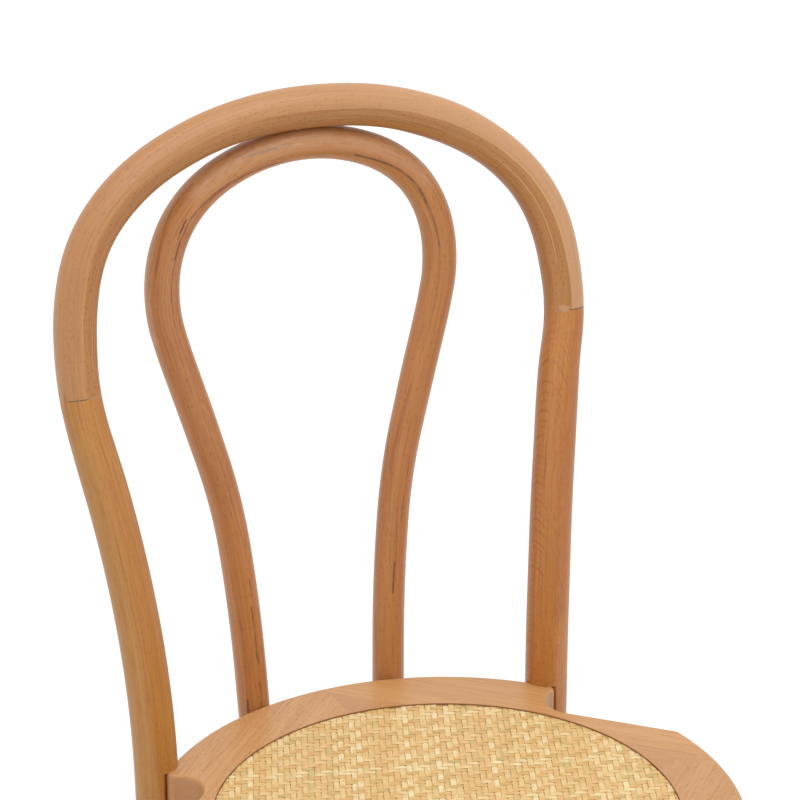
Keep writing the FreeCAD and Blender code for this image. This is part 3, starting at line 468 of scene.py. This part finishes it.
def straight_bar(name, length, sides, parts):
    """Turned bar along X, parted along its length and ready to be bent."""
    bpy.ops.object.select_all(action="DESELECT")
    bpy.ops.mesh.primitive_cylinder_add(vertices=sides, radius=1.0, depth=length,
                                        location=(length / 2.0, 0.0, 0.0), rotation=(0.0, math.pi / 2.0, 0.0))
    bar = bpy.context.object
    bar.name = name
    bpy.ops.object.transform_apply(location=True, rotation=True, scale=True)
    bpy.context.tool_settings.mesh_select_mode = (False, True, False)
    coarse = math.ceil(math.sqrt(parts))
    for count in (coarse, math.ceil(parts / coarse)):
        bpy.ops.object.mode_set(mode="EDIT")
        bpy.ops.mesh.select_all(action="DESELECT")
        bpy.ops.object.mode_set(mode="OBJECT")
        corners = bar.data.vertices
        for edge in bar.data.edges:
            ends = [corners[index].co.x for index in edge.vertices]
            edge.select = abs(ends[0] - ends[1]) > 0.0001
        bpy.ops.object.mode_set(mode="EDIT")
        bpy.ops.mesh.subdivide(number_cuts=count - 1)
        bpy.ops.object.mode_set(mode="OBJECT")
    return bar


def keep_bar(piece):
    """Stores where each corner lies in the straight bar, so that the grain bends with the wood."""
    places = [piece.data.vertices[corner.vertex_index].co for corner in piece.data.loops]
    marks = piece.data.attributes.new("bar", "FLOAT_VECTOR", "CORNER")
    marks.data.foreach_set("vector", [value for place in places for value in place])


def bent_rod(name, line, radius_at, sides=56, step=0.004):
    """A bar of the line's length, tapered, marked with its grain, and bent along the line."""
    length = sum((after - before).length for before, after in zip(line, line[1:]))
    rod = straight_bar(name, length, sides, math.ceil(length / step))
    for corner in rod.data.vertices:
        radius = radius_at(corner.co.x / length)
        corner.co.y *= radius
        corner.co.z *= radius
    keep_bar(rod)
    curve = bpy.data.curves.new(f"{name}_line", "CURVE")
    curve.dimensions = "3D"
    curve.twist_mode = "MINIMUM"
    spline = curve.splines.new("POLY")
    spline.points.add(len(line) - 1)
    for point, place in zip(spline.points, line):
        point.co = (*place, 1.0)
    guide = bpy.data.objects.new(f"{name}_line", curve)
    bpy.context.collection.objects.link(guide)
    bend = rod.modifiers.new("bend", "CURVE")
    bend.object = guide
    bend.deform_axis = "POS_X"
    bpy.ops.object.modifier_apply(modifier="bend")
    bpy.data.objects.remove(guide)
    return rod


def finger_block(gap):
    """Everything above the joints. Its lower side has fingers between flat shoulders."""
    step = FINGER_SPREAD / FINGER_TIPS
    tips = []
    for tip in range(FINGER_TIPS):
        tips.append(((2 * tip + 1 - FINGER_TIPS) * step, FINGER_LENGTH * (0.5 - tip % 2)))
    edge = 2.0 * ARCH_SECTION
    lower_side = [(-edge, 0.0), (-FINGER_SPREAD, 0.0)] + tips + [(FINGER_SPREAD, 0.0), (edge, 0.0)]
    rows = len(lower_side) - 1
    bpy.ops.object.select_all(action="DESELECT")
    bpy.ops.mesh.primitive_grid_add(x_subdivisions=1, y_subdivisions=rows, size=1.0)
    block = bpy.context.object
    for corner in block.data.vertices:
        depth, height = lower_side[round((corner.co.y + 0.5) * rows)]
        corner.co = (0.5 * corner.co.x, depth, height - gap)
    bpy.ops.object.mode_set(mode="EDIT")
    bpy.ops.mesh.select_all(action="SELECT")
    bpy.ops.mesh.extrude_region_move(TRANSFORM_OT_translate={"value": (0.0, 0.0, 0.25)})
    bpy.ops.mesh.select_all(action="SELECT")
    bpy.ops.mesh.normals_make_consistent(inside=False)
    bpy.ops.object.mode_set(mode="OBJECT")
    block.rotation_euler = (-ARCH_LEAN, GLUE_ROLL, 0.0)
    block.location = GLUE_PLACE
    bpy.ops.object.transform_apply(location=True, rotation=True, scale=True)
    keep_bar(block)
    return block


def glue_line(material, bow_side):
    """Glue along the joints' shoulders and fingers: dark outside, paler inside and faint on the fingers.
    The right joint also has a patch of putty."""
    tree = material.node_tree
    place = object_place(tree)
    local = vector(tree, "SUBTRACT", place, GLUE_PLACE)
    up = (math.sin(GLUE_ROLL), math.sin(ARCH_LEAN), math.cos(ARCH_LEAN))
    back = (0.0, math.cos(ARCH_LEAN), -math.sin(ARCH_LEAN))
    along = vector(tree, "DOT_PRODUCT", local, up)
    front = vector(tree, "DOT_PRODUCT", local, back)
    depth = reckon(tree, "ABSOLUTE", front)
    fingers = reckon(tree, "LESS_THAN", depth, FINGER_SPREAD)
    half_pitch = 2.0 * FINGER_SPREAD / FINGER_TIPS
    wave = reckon(tree, "MULTIPLY_ADD", reckon(tree, "PINGPONG", depth, half_pitch),
                  -FINGER_LENGTH / half_pitch, FINGER_LENGTH / 2.0)
    off = reckon(tree, "ABSOLUTE", reckon(tree, "SUBTRACT", along, reckon(tree, "MULTIPLY", wave, fingers)))
    flank = half_pitch / math.hypot(half_pitch, FINGER_LENGTH)
    off = reckon(tree, "MULTIPLY", off, reckon(tree, "MULTIPLY_ADD", fingers, flank - 1.0, 1.0))
    patchy = graded(tree, cloud(tree, place, 0.010, 0.010), (0.35, 0.65), (0.55, 0.95))
    line = reckon(tree, "MULTIPLY", rise(tree, off, 0.00050, 0.00018), patchy)
    line = reckon(tree, "MULTIPLY", line, reckon(tree, "MULTIPLY_ADD", fingers, -0.80, 1.0))
    right = node(tree, "SeparateXYZ", {0: place}).outputs[0]
    spot = node(tree, "CombineXYZ", {0: reckon(tree, "SUBTRACT", right, bow_side - 0.0046),
                                     1: reckon(tree, "SUBTRACT", along, 0.0022)}).outputs[0]
    reach = vector(tree, "LENGTH", spot)
    ragged = reckon(tree, "MULTIPLY_ADD", cloud(tree, place, 0.004, 0.004), 0.009, reach)
    putty = reckon(tree, "MULTIPLY", rise(tree, ragged, 0.0095, 0.0055), rise(tree, front, -0.002, -0.008))
    stain(material, reckon(tree, "MULTIPLY", putty, 0.50), (0.540, 0.320, 0.180))
    sideways = reckon(tree, "ABSOLUTE", right)
    outer = rise(tree, sideways, bow_side - 0.0030, bow_side + 0.0015)
    stain(material, line, tint(tree, outer, (0.460, 0.320, 0.220), (0.090, 0.058, 0.038)))


def round_cutter(start, end, radius, sides=48):
    way = end - start
    bpy.ops.object.select_all(action="DESELECT")
    bpy.ops.mesh.primitive_cylinder_add(vertices=sides, radius=radius, depth=way.length,
                                        location=(start + end) / 2.0,
                                        rotation=way.to_track_quat("Z", "Y").to_euler())
    cutter = bpy.context.object
    bpy.ops.object.transform_apply(location=True, rotation=True, scale=True)
    keep_bar(cutter)
    return cutter


def pick(piece):
    """Makes a piece the only selected one, and the active one."""
    bpy.ops.object.select_all(action="DESELECT")
    piece.select_set(True)
    bpy.context.view_layer.objects.active = piece


def carve(piece, cutter, operation="DIFFERENCE"):
    """Cuts a piece with a shape that is thrown away afterwards."""
    cut = piece.modifiers.new("cut", "BOOLEAN")
    cut.operation = operation
    cut.object = cutter
    cut.solver = "EXACT"
    pick(piece)
    bpy.ops.object.modifier_apply(modifier="cut")
    bpy.data.objects.remove(cutter)


def smooth(piece, degrees=35.0):
    pick(piece)
    bpy.ops.object.shade_smooth_by_angle(angle=math.radians(degrees))


def fit(piece, material, replaced):
    """Finish, body and CAD node of a wooden piece."""
    smooth(piece)
    piece.data.materials.clear()
    piece.data.materials.append(material)
    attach(piece, "root")
    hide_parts(replaced)


def ring_cutter():
    below = SEAT_CENTRE - Vector((0.0, 0.0, RING_THICKNESS))
    return round_cutter(below, SEAT_CENTRE.copy(), RING_RADIUS, 360)


outer_bow, bow_heading = half_bow(ARCH_RISE, BOW_RUNS + (WAIST_RUN,))
bow_sides = [x for x, along in reversed(outer_bow)]
bow_alongs = [along for x, along in reversed(outer_bow)]


def leg_middle(along):
    """Middle of the right rear leg, at a length along the bow from its joint."""
    if along > bow_alongs[0]:
        x = float(numpy.interp(along, bow_alongs, bow_sides))
    else:
        x = bow_sides[0] + (bow_alongs[0] - along) / math.tan(bow_heading)
    if along > 0.0:
        return Vector((x, JOINT.y + along * math.sin(ARCH_LEAN), JOINT.z + along * math.cos(ARCH_LEAN)))
    if along > LEG_SEAT_ALONG:
        slope = ARCH_LEAN + along / LEG_BOW
        back = LEG_BOW * (math.cos(ARCH_LEAN) - math.cos(slope))
        down = LEG_BOW * (math.sin(ARCH_LEAN) - math.sin(slope))
        return Vector((x, JOINT.y + back, JOINT.z - down))
    slope = LEG_SEAT_SLOPE + (along - LEG_SEAT_ALONG) / LEG_RAKE
    back = LEG_RAKE * (math.cos(LEG_SEAT_SLOPE) - math.cos(slope))
    down = LEG_RAKE * (math.sin(LEG_SEAT_SLOPE) - math.sin(slope))
    return Vector((x, SEAT_CENTRE.y + LEG_SEAT_BACK + back, SEAT_CENTRE.z - down))


def eased(place, keys):
    """Smooth value at a place between keys of (place, value)."""
    after = min(max(sum(key[0] <= place for key in keys), 1), len(keys) - 1)
    (start, low), (end, high) = keys[after - 1], keys[after]
    share = min(max((place - start) / (end - start), 0.0), 1.0)
    return low + (high - low) * share * share * (3.0 - 2.0 * share)


glue_side = leg_middle(GLUE_RISE).x


def leg_radius(share):
    """Full at the seat, and slightly thinner towards the joint and the floor."""
    along = LEG_TOP + (LEG_BOTTOM - LEG_TOP) * share
    if along > LEG_SEAT_ALONG:
        return eased(along, ((LEG_SEAT_ALONG, LEG_SEAT_SECTION), (-0.060, 0.0152), (0.0, JOINT_SECTION)))
    low = (along - LEG_SEAT_ALONG) / (LEG_BOTTOM + 0.010 - LEG_SEAT_ALONG)
    return LEG_SEAT_SECTION + (LEG_FOOT_SECTION - LEG_SEAT_SECTION) * low


def streak(material, colour, width, share, points, section=0.015):
    """A mark along the grain of a bent rod, through points of (length along the bar, degrees round it)."""
    tree = material.node_tree
    bar = node(tree, "Attribute", attribute_name="bar").outputs["Vector"]
    axes = node(tree, "SeparateXYZ", {0: bar})
    turn = reckon(tree, "ARCTAN2", axes.outputs[2], axes.outputs[1])
    fade = max(0.002, 1.5 * width)
    mark = None
    for (start, first), (end, second) in zip(points, points[1:]):
        turns = (math.radians(first), math.radians(second))
        lead = graded(tree, axes.outputs[0], (start, end), turns)
        within = reckon(tree, "MULTIPLY", rise(tree, axes.outputs[0], start - fade, start + 0.0005),
                        rise(tree, axes.outputs[0], end + fade, end - 0.0005))
        off = reckon(tree, "ABSOLUTE", reckon(tree, "SUBTRACT", turn, lead))
        off = reckon(tree, "MULTIPLY", off, section)
        part = reckon(tree, "MULTIPLY", rise(tree, off, width, 0.3 * width), within)
        mark = part if mark is None else reckon(tree, "MAXIMUM", mark, part)
    broken = graded(tree, cloud(tree, bar, 0.008, 0.003), (0.32, 0.55), (0.35, 1.0))
    stain(material, reckon(tree, "MULTIPLY", reckon(tree, "MULTIPLY", mark, broken), share), colour)


leg_finishes = {
    "left": beech("leg_beech_left", None, pale=(0.455, 0.198, 0.042), deep=(0.410, 0.162, 0.024),
                  slope=0.008, pith=(0.05, -0.04), fleck=(0.005, 0.0008), fleck_share=0.40, stripe=0.25),
    "right": beech("leg_beech_right", None, pale=(0.485, 0.194, 0.048), deep=(0.428, 0.152, 0.026),
                   slope=-0.50, pith=(0.047, -0.088), year=0.0023, year_depth=0.60, waver=0.0014,
                   year_edge=0.68, fleck=(0.0045, 0.0008), fleck_share=0.60, stripe=0.15,
                   mark=(0.250, 0.062, 0.012)),
}
streak(leg_finishes["left"], (0.450, 0.225, 0.054), 0.012, 0.50, ((0.045, 150), (0.320, 160)))
streak(leg_finishes["right"], (0.360, 0.105, 0.018), 0.009, 0.50, ((0.010, 52), (0.150, 62), (0.230, 68)))
# Slight bends to the side: (length along the bow from the joint, shift).
leg_sway = {
    "left": ((-0.260, -0.0001), (-0.090, -0.0008), (-0.045, -0.0009), (0.0, -0.0003), (0.012, 0.0)),
    "right": ((-0.200, 0.0), (-0.100, -0.0007), (-0.030, -0.0015), (0.012, 0.0014), (0.020, 0.0016)),
}
for side_name, side in (("left", -1.0), ("right", 1.0)):
    glue_line(leg_finishes[side_name], glue_side)
    alongs = [LEG_TOP + (LEG_BOTTOM - LEG_TOP) * index / (LEG_POINTS - 1)
              for index in range(LEG_POINTS)]
    line = []
    for along in alongs:
        middle = leg_middle(along)
        line.append(Vector((side * middle.x + eased(along, leg_sway[side_name]), middle.y, middle.z)))
    rear_leg = bent_rod(f"bent_leg_{side_name}", line, leg_radius)
    carve(rear_leg, finger_block(GLUE_GAP))
    carve(rear_leg, ring_cutter())
    bpy.ops.object.mode_set(mode="EDIT")
    bpy.ops.mesh.select_all(action="SELECT")
    bpy.ops.mesh.bisect(plane_co=(0.0, 0.0, FOOT_HEIGHT), plane_no=(0.0, 0.0, 1.0), use_fill=True,
                        clear_inner=True)
    bpy.ops.object.mode_set(mode="OBJECT")
    fit(rear_leg, leg_finishes[side_name], f"rear_leg_{side_name}")

# Back arch: beech laminations, glued and bent flat over the crown and round the shoulders, then turned
# round. It leans back, its outer layer is paler, partly in the wood and partly as painted sheen on its upper
# side, and its ends are finger-jointed to the rear legs.
# Unevenness of the bent bow, sideways and upwards: (length from its middle, shift).
ARCH_SWAY = ((-0.305, -0.0003), (-0.235, 0.0018), (-0.172, -0.0013), (-0.115, 0.0),
             (0.120, 0.0), (0.210, 0.0020), (0.245, 0.0017), (0.278, 0.0018), (0.310, 0.0001))
ARCH_SINK = ((-0.240, 0.0), (-0.185, -0.0013), (-0.065, 0.0014), (0.020, 0.0002), (0.060, 0.0003),
             (0.141, -0.0020), (0.230, 0.0))
# Radius by the share of the arch's length.
ARCH_GIRTH = ((0.052, JOINT_SECTION), (0.13, 0.0149), (0.24, 0.0146), (0.38, 0.0144), (0.50, 0.0149),
              (0.60, 0.0149), (0.67, 0.0153), (0.75, 0.0148), (0.85, 0.0150), (0.948, JOINT_SECTION))
# Where the glued layers meet, across the arch.
LAYER_EDGES = (0.0075, 0.0005)


def runs_from_middle(points):
    """Lengths along a line of points, counted both ways from its middle."""
    steps = [math.dist(before, after) for before, after in zip(points, points[1:])]
    runs = [-sum(steps) / 2.0]
    for step in steps:
        runs.append(runs[-1] + step)
    return runs


def arch_radius(share):
    """Turned by eye: a little thinner at the left shoulder and the joints, fuller right of the crown."""
    return eased(share, ARCH_GIRTH)


half_arch = half_bow(ARCH_RISE, BOW_RUNS)[0]
arch_points = [(-x, along) for x, along in reversed(half_arch)] + half_arch[1:]
arch_runs = runs_from_middle(arch_points)
arch_half = -arch_runs[0]
arch_line = []
for (x, along), run in zip(arch_points, arch_runs):
    along += eased(run, ARCH_SINK)
    arch_line.append(JOINT + Vector((x + eased(run, ARCH_SWAY), along * math.sin(ARCH_LEAN),
                                     along * math.cos(ARCH_LEAN))))
back_arch = bent_rod("bent_arch", arch_line, arch_radius)
carve(back_arch, finger_block(0.0), "INTERSECT")


def laminations(material):
    """The arch's glued layers: a pale one outside, a browner one under it, and thin pale seams between. They
    are clear on the right half and faint on the left. The pale outer layer, on the arch's upper side, is
    partly paler wood and partly painted sheen."""
    tree = material.node_tree
    bar = node(tree, "Attribute", attribute_name="bar").outputs["Vector"]
    axes = node(tree, "SeparateXYZ", {0: bar})
    clear = rise(tree, axes.outputs[0], arch_half - 0.05, arch_half + 0.12)
    wander = reckon(tree, "MULTIPLY_ADD", cloud(tree, bar, 0.22, 0.05), 0.005, -0.0025)
    out = reckon(tree, "ADD", axes.outputs[1], wander)
    outer = rise(tree, out, LAYER_EDGES[0] - 0.0003, LAYER_EDGES[0] + 0.0003)
    under = rise(tree, out, LAYER_EDGES[1] - 0.0003, LAYER_EDGES[1] + 0.0003)
    under = reckon(tree, "SUBTRACT", under, outer)
    share = reckon(tree, "MULTIPLY_ADD", clear, 0.28, 0.21)
    # The pale outer layer is partly painted sheen that lightens the arch's upper side.
    stain(material, reckon(tree, "MULTIPLY", outer, share), (0.600, 0.345, 0.185))
    share = reckon(tree, "MULTIPLY_ADD", clear, 0.18, 0.06)
    stain(material, reckon(tree, "MULTIPLY", under, share), (0.330, 0.145, 0.034))
    patchy = rise(tree, cloud(tree, bar, 0.060, 0.05), 0.35, 0.60)
    shown = reckon(tree, "MULTIPLY", patchy, reckon(tree, "MULTIPLY_ADD", clear, 0.40, 0.20))
    for edge in LAYER_EDGES:
        off = reckon(tree, "ABSOLUTE", reckon(tree, "SUBTRACT", out, edge))
        seam = rise(tree, off, 0.00045, 0.00015)
        stain(material, reckon(tree, "MULTIPLY", seam, shown), (0.640, 0.400, 0.150))


arch_beech = beech("arch_beech", None, pale=(0.436, 0.193, 0.059), deep=(0.380, 0.153, 0.038), slope=0.012,
                   pith=(0.06, 0.05), fleck=(0.0040, 0.0010), fleck_share=0.40, fleck_depth=0.75, stripe=0.20,
                   mark=(0.230, 0.060, 0.014))
laminations(arch_beech)
glue_line(arch_beech, glue_side)
fit(back_arch, arch_beech, "back_arch")

# Inner loop: a thinner beech rod bent to a keyhole. Its crown is screwed up into the arch, and its two
# ends are housed and screwed on the ring's edge.
LOOP_SECTION = 0.012
LOOP_RISE = 0.428714
LOOP_LEAN = math.radians(4.48849)
LOOP_END = Vector((0.053401, 0.209295, -0.019))
LOOP_RUNS = ((0.1287, 25.42), (0.0915, 80.23), (0.1025, 0.0), (0.4565, -9.17), (1.302, -4.2))
# How far the loop stands out from its arcs: (length from its middle, shift).
LOOP_EASE = ((0.040, 0.0), (0.092, 0.0007), (0.160, -0.0008), (0.205, 0.0006), (0.260, 0.0))
# Radius by the share of half the loop's length.
LOOP_GIRTH = ((0.06, LOOP_SECTION), (0.20, 0.0123), (0.45, 0.0123), (0.68, 0.01165))
SCREW_HEAD = 0.0048
SCREW_SINK = 0.0015
CROWN_CONTACT = math.radians(8.5)
half_loop, loop_heading = half_bow(LOOP_RISE, LOOP_RUNS)
loop_bottom = LOOP_END.z / math.cos(LOOP_LEAN)
loop_tail = (loop_bottom - half_loop[-1][1]) / -math.sin(loop_heading)
half_loop.append((half_loop[-1][0] + loop_tail * math.cos(loop_heading), loop_bottom))
loop_points = [(-x, along) for x, along in reversed(half_loop)] + half_loop[1:]
loop_foot = SEAT_CENTRE + Vector((0.0, LOOP_END.y, LOOP_END.z))
loop_line = []
for (x, along), run in zip(loop_points, runs_from_middle(loop_points)):
    x += math.copysign(1.0, x) * eased(abs(run), LOOP_EASE)
    loop_line.append(loop_foot + Vector((x, along * math.sin(LOOP_LEAN), along * math.cos(LOOP_LEAN))))


def loop_radius(share):
    """Fuller round the head, thinner towards the ends."""
    return eased(abs(2.0 * share - 1.0), LOOP_GIRTH)


inner_loop = bent_rod("bent_loop", loop_line, loop_radius, 48, 0.002)
carve(inner_loop, ring_cutter())
for side in (-1.0, 1.0):
    outward = Vector((side * LOOP_END.x, LOOP_END.y, 0.0)).normalized()
    end = SEAT_CENTRE + Vector((side * LOOP_END.x, LOOP_END.y, LOOP_END.z))
    head = end + outward * (LOOP_SECTION - SCREW_SINK)
    carve(inner_loop, round_cutter(head, head + outward * 0.010, SCREW_HEAD, 32))
loop_crown = loop_foot + Vector((0.0, LOOP_RISE * math.sin(LOOP_LEAN), LOOP_RISE * math.cos(LOOP_LEAN)))
away = Vector((0.0, math.sin(CROWN_CONTACT), -math.cos(CROWN_CONTACT)))
crown_head = loop_crown + away * (LOOP_SECTION - SCREW_SINK)
carve(inner_loop, round_cutter(crown_head, crown_head + away * 0.010, SCREW_HEAD, 32))
loop_beech = beech("loop_beech", None, pale=(0.495, 0.210, 0.070), deep=(0.425, 0.160, 0.040), slope=0.006,
                   pith=(0.03, -0.035), year=0.0030, year_depth=0.40, fleck=(0.005, 0.0009),
                   fleck_share=0.30, fleck_depth=0.55, streak_share=0.06, stripe=0.25,
                   mark=(0.230, 0.060, 0.014))
RED_MARK = (0.190, 0.048, 0.012)
DARK_MARK = (0.080, 0.042, 0.022)
OLIVE_MARK = (0.300, 0.180, 0.045)
GREY_MARK = (0.270, 0.185, 0.140)
PALE_MARK = (0.640, 0.440, 0.280)
GOLD_MARK = (0.600, 0.320, 0.075)
ROSY_PAINTED_SHEEN = (0.590, 0.345, 0.190)
# The rosy streaks are painted sheen: they lighten the loop's upper side, where the arch shades it.
for colour, width, share, points in (
        (ROSY_PAINTED_SHEEN, 0.0110, 0.42, ((0.440, 22), (0.470, 28), (0.560, 34), (0.620, 26))),
        (ROSY_PAINTED_SHEEN, 0.0050, 0.35, ((0.330, -10), (0.400, -22), (0.430, -32))),
        (GOLD_MARK, 0.0022, 0.20, ((0.560, 102), (0.600, 94), (0.635, 100), (0.655, 100))),
        (OLIVE_MARK, 0.0014, 0.5, ((0.521, 100), (0.564, 86))),
        (RED_MARK, 0.0016, 0.40, ((0.375, 20), (0.387, 17), (0.404, 8), (0.421, -5), (0.438, 0))),
        (RED_MARK, 0.0010, 0.9, ((0.420, 68), (0.443, 77), (0.458, 82), (0.477, 93), (0.502, 105))),
        (RED_MARK, 0.0009, 0.8, ((0.428, 79), (0.453, 88), (0.470, 96))),
        (RED_MARK, 0.0012, 0.95, ((0.404, 61), (0.418, 56))),
        (RED_MARK, 0.0007, 0.6, ((0.350, 75), (0.375, 74), (0.390, 73))),
        (RED_MARK, 0.0011, 0.95, ((0.390, 73), (0.410, 71), (0.418, 69))),
        (GREY_MARK, 0.0012, 0.6, ((0.479, 36), (0.496, 44), (0.508, 48))),
        (PALE_MARK, 0.0009, 0.35, ((0.500, 45), (0.518, 52))),
        (PALE_MARK, 0.0010, 0.30, ((0.505, 26), (0.514, 28))),
        (DARK_MARK, 0.0013, 0.75, ((0.560, 89), (0.579, 87), (0.600, 80), (0.620, 81), (0.634, 87))),
        (DARK_MARK, 0.0007, 0.6, ((0.634, 87), (0.655, 87), (0.672, 86))),
        (DARK_MARK, 0.0006, 0.7, ((0.161, 88), (0.167, 89))),
        (RED_MARK, 0.0120, 0.18, ((0.200, 70), (0.400, 70))),
        (OLIVE_MARK, 0.0008, 0.45, ((0.672, 88), (0.690, 93), (0.706, 96), (0.724, 101), (0.745, 108))),
        (RED_MARK, 0.0007, 0.8, ((0.123, 78), (0.136, 80))),
        (RED_MARK, 0.0008, 0.9, ((0.081, 72), (0.101, 73), (0.115, 72))),
        (DARK_MARK, 0.0014, 0.8, ((0.071, 74), (0.080, 71))),
        (DARK_MARK, 0.0008, 0.8, ((0.036, 70), (0.056, 72))),
        (DARK_MARK, 0.0013, 0.8, ((0.033, 19), (0.043, 21))),
        (OLIVE_MARK, 0.0018, 0.28, ((0.845, 94), (0.933, 85))),
        (RED_MARK, 0.0006, 0.6, ((0.830, 53), (0.880, 57))),
        (RED_MARK, 0.0006, 0.6, ((0.868, 74), (0.913, 67))),
        (DARK_MARK, 0.0009, 0.9, ((0.911, 73), (0.934, 74)))):
    streak(loop_beech, colour, width, share, points, LOOP_SECTION)
fit(inner_loop, loop_beech, "inner_loop")

# Fasteners: zinc-plated bolts with washers and inserts hold the rear legs, and countersunk screws hold the
# hoop, the loop and the panel.
steel, tree = blank_finish("steel")
tree.nodes["Principled BSDF"].inputs["Metallic"].default_value = 1.0
plating = cloud(tree, object_place(tree), 0.0012, 0.0012, 3.0)
zinc = tint(tree, rise(tree, plating, 0.35, 0.65), (0.56, 0.57, 0.58), (0.43, 0.43, 0.44))
coat(tree, zinc, graded(tree, plating, (0.0, 1.0), (0.24, 0.46)), plating, 0.15, 0.0001)
for fastener in ("crown_screw", "leg_hoop_screws", "loop_end_screws", "panel_screws", "rear_leg_bolts",
                 "rear_leg_washers", "rear_leg_inserts"):
    dress(fastener, steel)

# Foot glides: moulded nylon discs with a chamfered edge, fixed flat under the four feet. They keep the wood
# off the floor.
nylon, tree = blank_finish("nylon")
mould = cloud(tree, object_place(tree), 0.0008, 0.0008)
brown = tint(tree, mould, (0.10, 0.085, 0.07), (0.15, 0.13, 0.11))
coat(tree, brown, graded(tree, mould, (0.0, 1.0), (0.40, 0.60)), mould, 0.2, 0.0001)
dress("foot_glides", nylon)

# Studio: a wide white floor, an even white surround and one broad soft lamp high above the chair. The
# camera looks down on the back from the front left.
bpy.ops.object.select_all(action="DESELECT")
bpy.ops.mesh.primitive_plane_add(size=40.0, location=(0.0, 0.0, 0.0))
floor = bpy.context.object
floor.name = "studio_floor"
paper, tree = blank_finish("floor_paper")
shader = tree.nodes["Principled BSDF"]
shader.inputs["Base Color"].default_value = (0.80, 0.80, 0.80, 1.0)
shader.inputs["Roughness"].default_value = 0.9
shader.inputs["Specular IOR Level"].default_value = 0.0
shader.inputs["Emission Color"].default_value = (1.0, 1.0, 1.0, 1.0)


def seen_rays(tree):
    """1 for rays that show the background: straight to the camera, in a gloss or through glass."""
    rays = node(tree, "LightPath")
    seen = reckon(tree, "MAXIMUM", rays.outputs["Is Camera Ray"], rays.outputs["Is Glossy Ray"])
    return reckon(tree, "MAXIMUM", seen, rays.outputs["Is Transmission Ray"])


glow = graded(tree, vector(tree, "LENGTH", object_place(tree)), (0.5, 3.5), (0.14, 0.36))
tree.links.new(reckon(tree, "MULTIPLY", seen_rays(tree), glow), shader.inputs["Emission Strength"])
floor.data.materials.append(paper)

surround = bpy.data.worlds.new("surround")
surround.use_nodes = True
bpy.context.scene.world = surround
tree = surround.node_tree
tree.links.new(reckon(tree, "MULTIPLY_ADD", seen_rays(tree), 0.12, 0.88),
               tree.nodes["Background"].inputs["Strength"])
tree.nodes["Background"].inputs["Color"].default_value = (1.0, 1.0, 1.0, 1.0)

lamp = bpy.data.lights.new("soft_lamp", "AREA")
lamp.shape = "DISK"
lamp.size = 4.0
lamp.energy = 72.0
lamp_stand = bpy.data.objects.new("soft_lamp", lamp)
lamp_stand.location = (0.0, -0.9, 4.0)
lamp_stand.rotation_euler = (SEAT_CENTRE - lamp_stand.location).to_track_quat("-Z", "Y").to_euler()
bpy.context.collection.objects.link(lamp_stand)

lens = bpy.data.cameras.new("camera")
lens.lens = 160.28
lens.sensor_width = 36.0
camera = bpy.data.objects.new("camera", lens)
camera.location = (-0.94122, -1.93466, 1.66454)
camera.rotation_euler = (math.radians(66.93), 0.0, math.radians(-25.36))
bpy.context.collection.objects.link(camera)
bpy.context.scene.camera = camera
bpy.context.scene.view_settings.view_transform = "Standard"
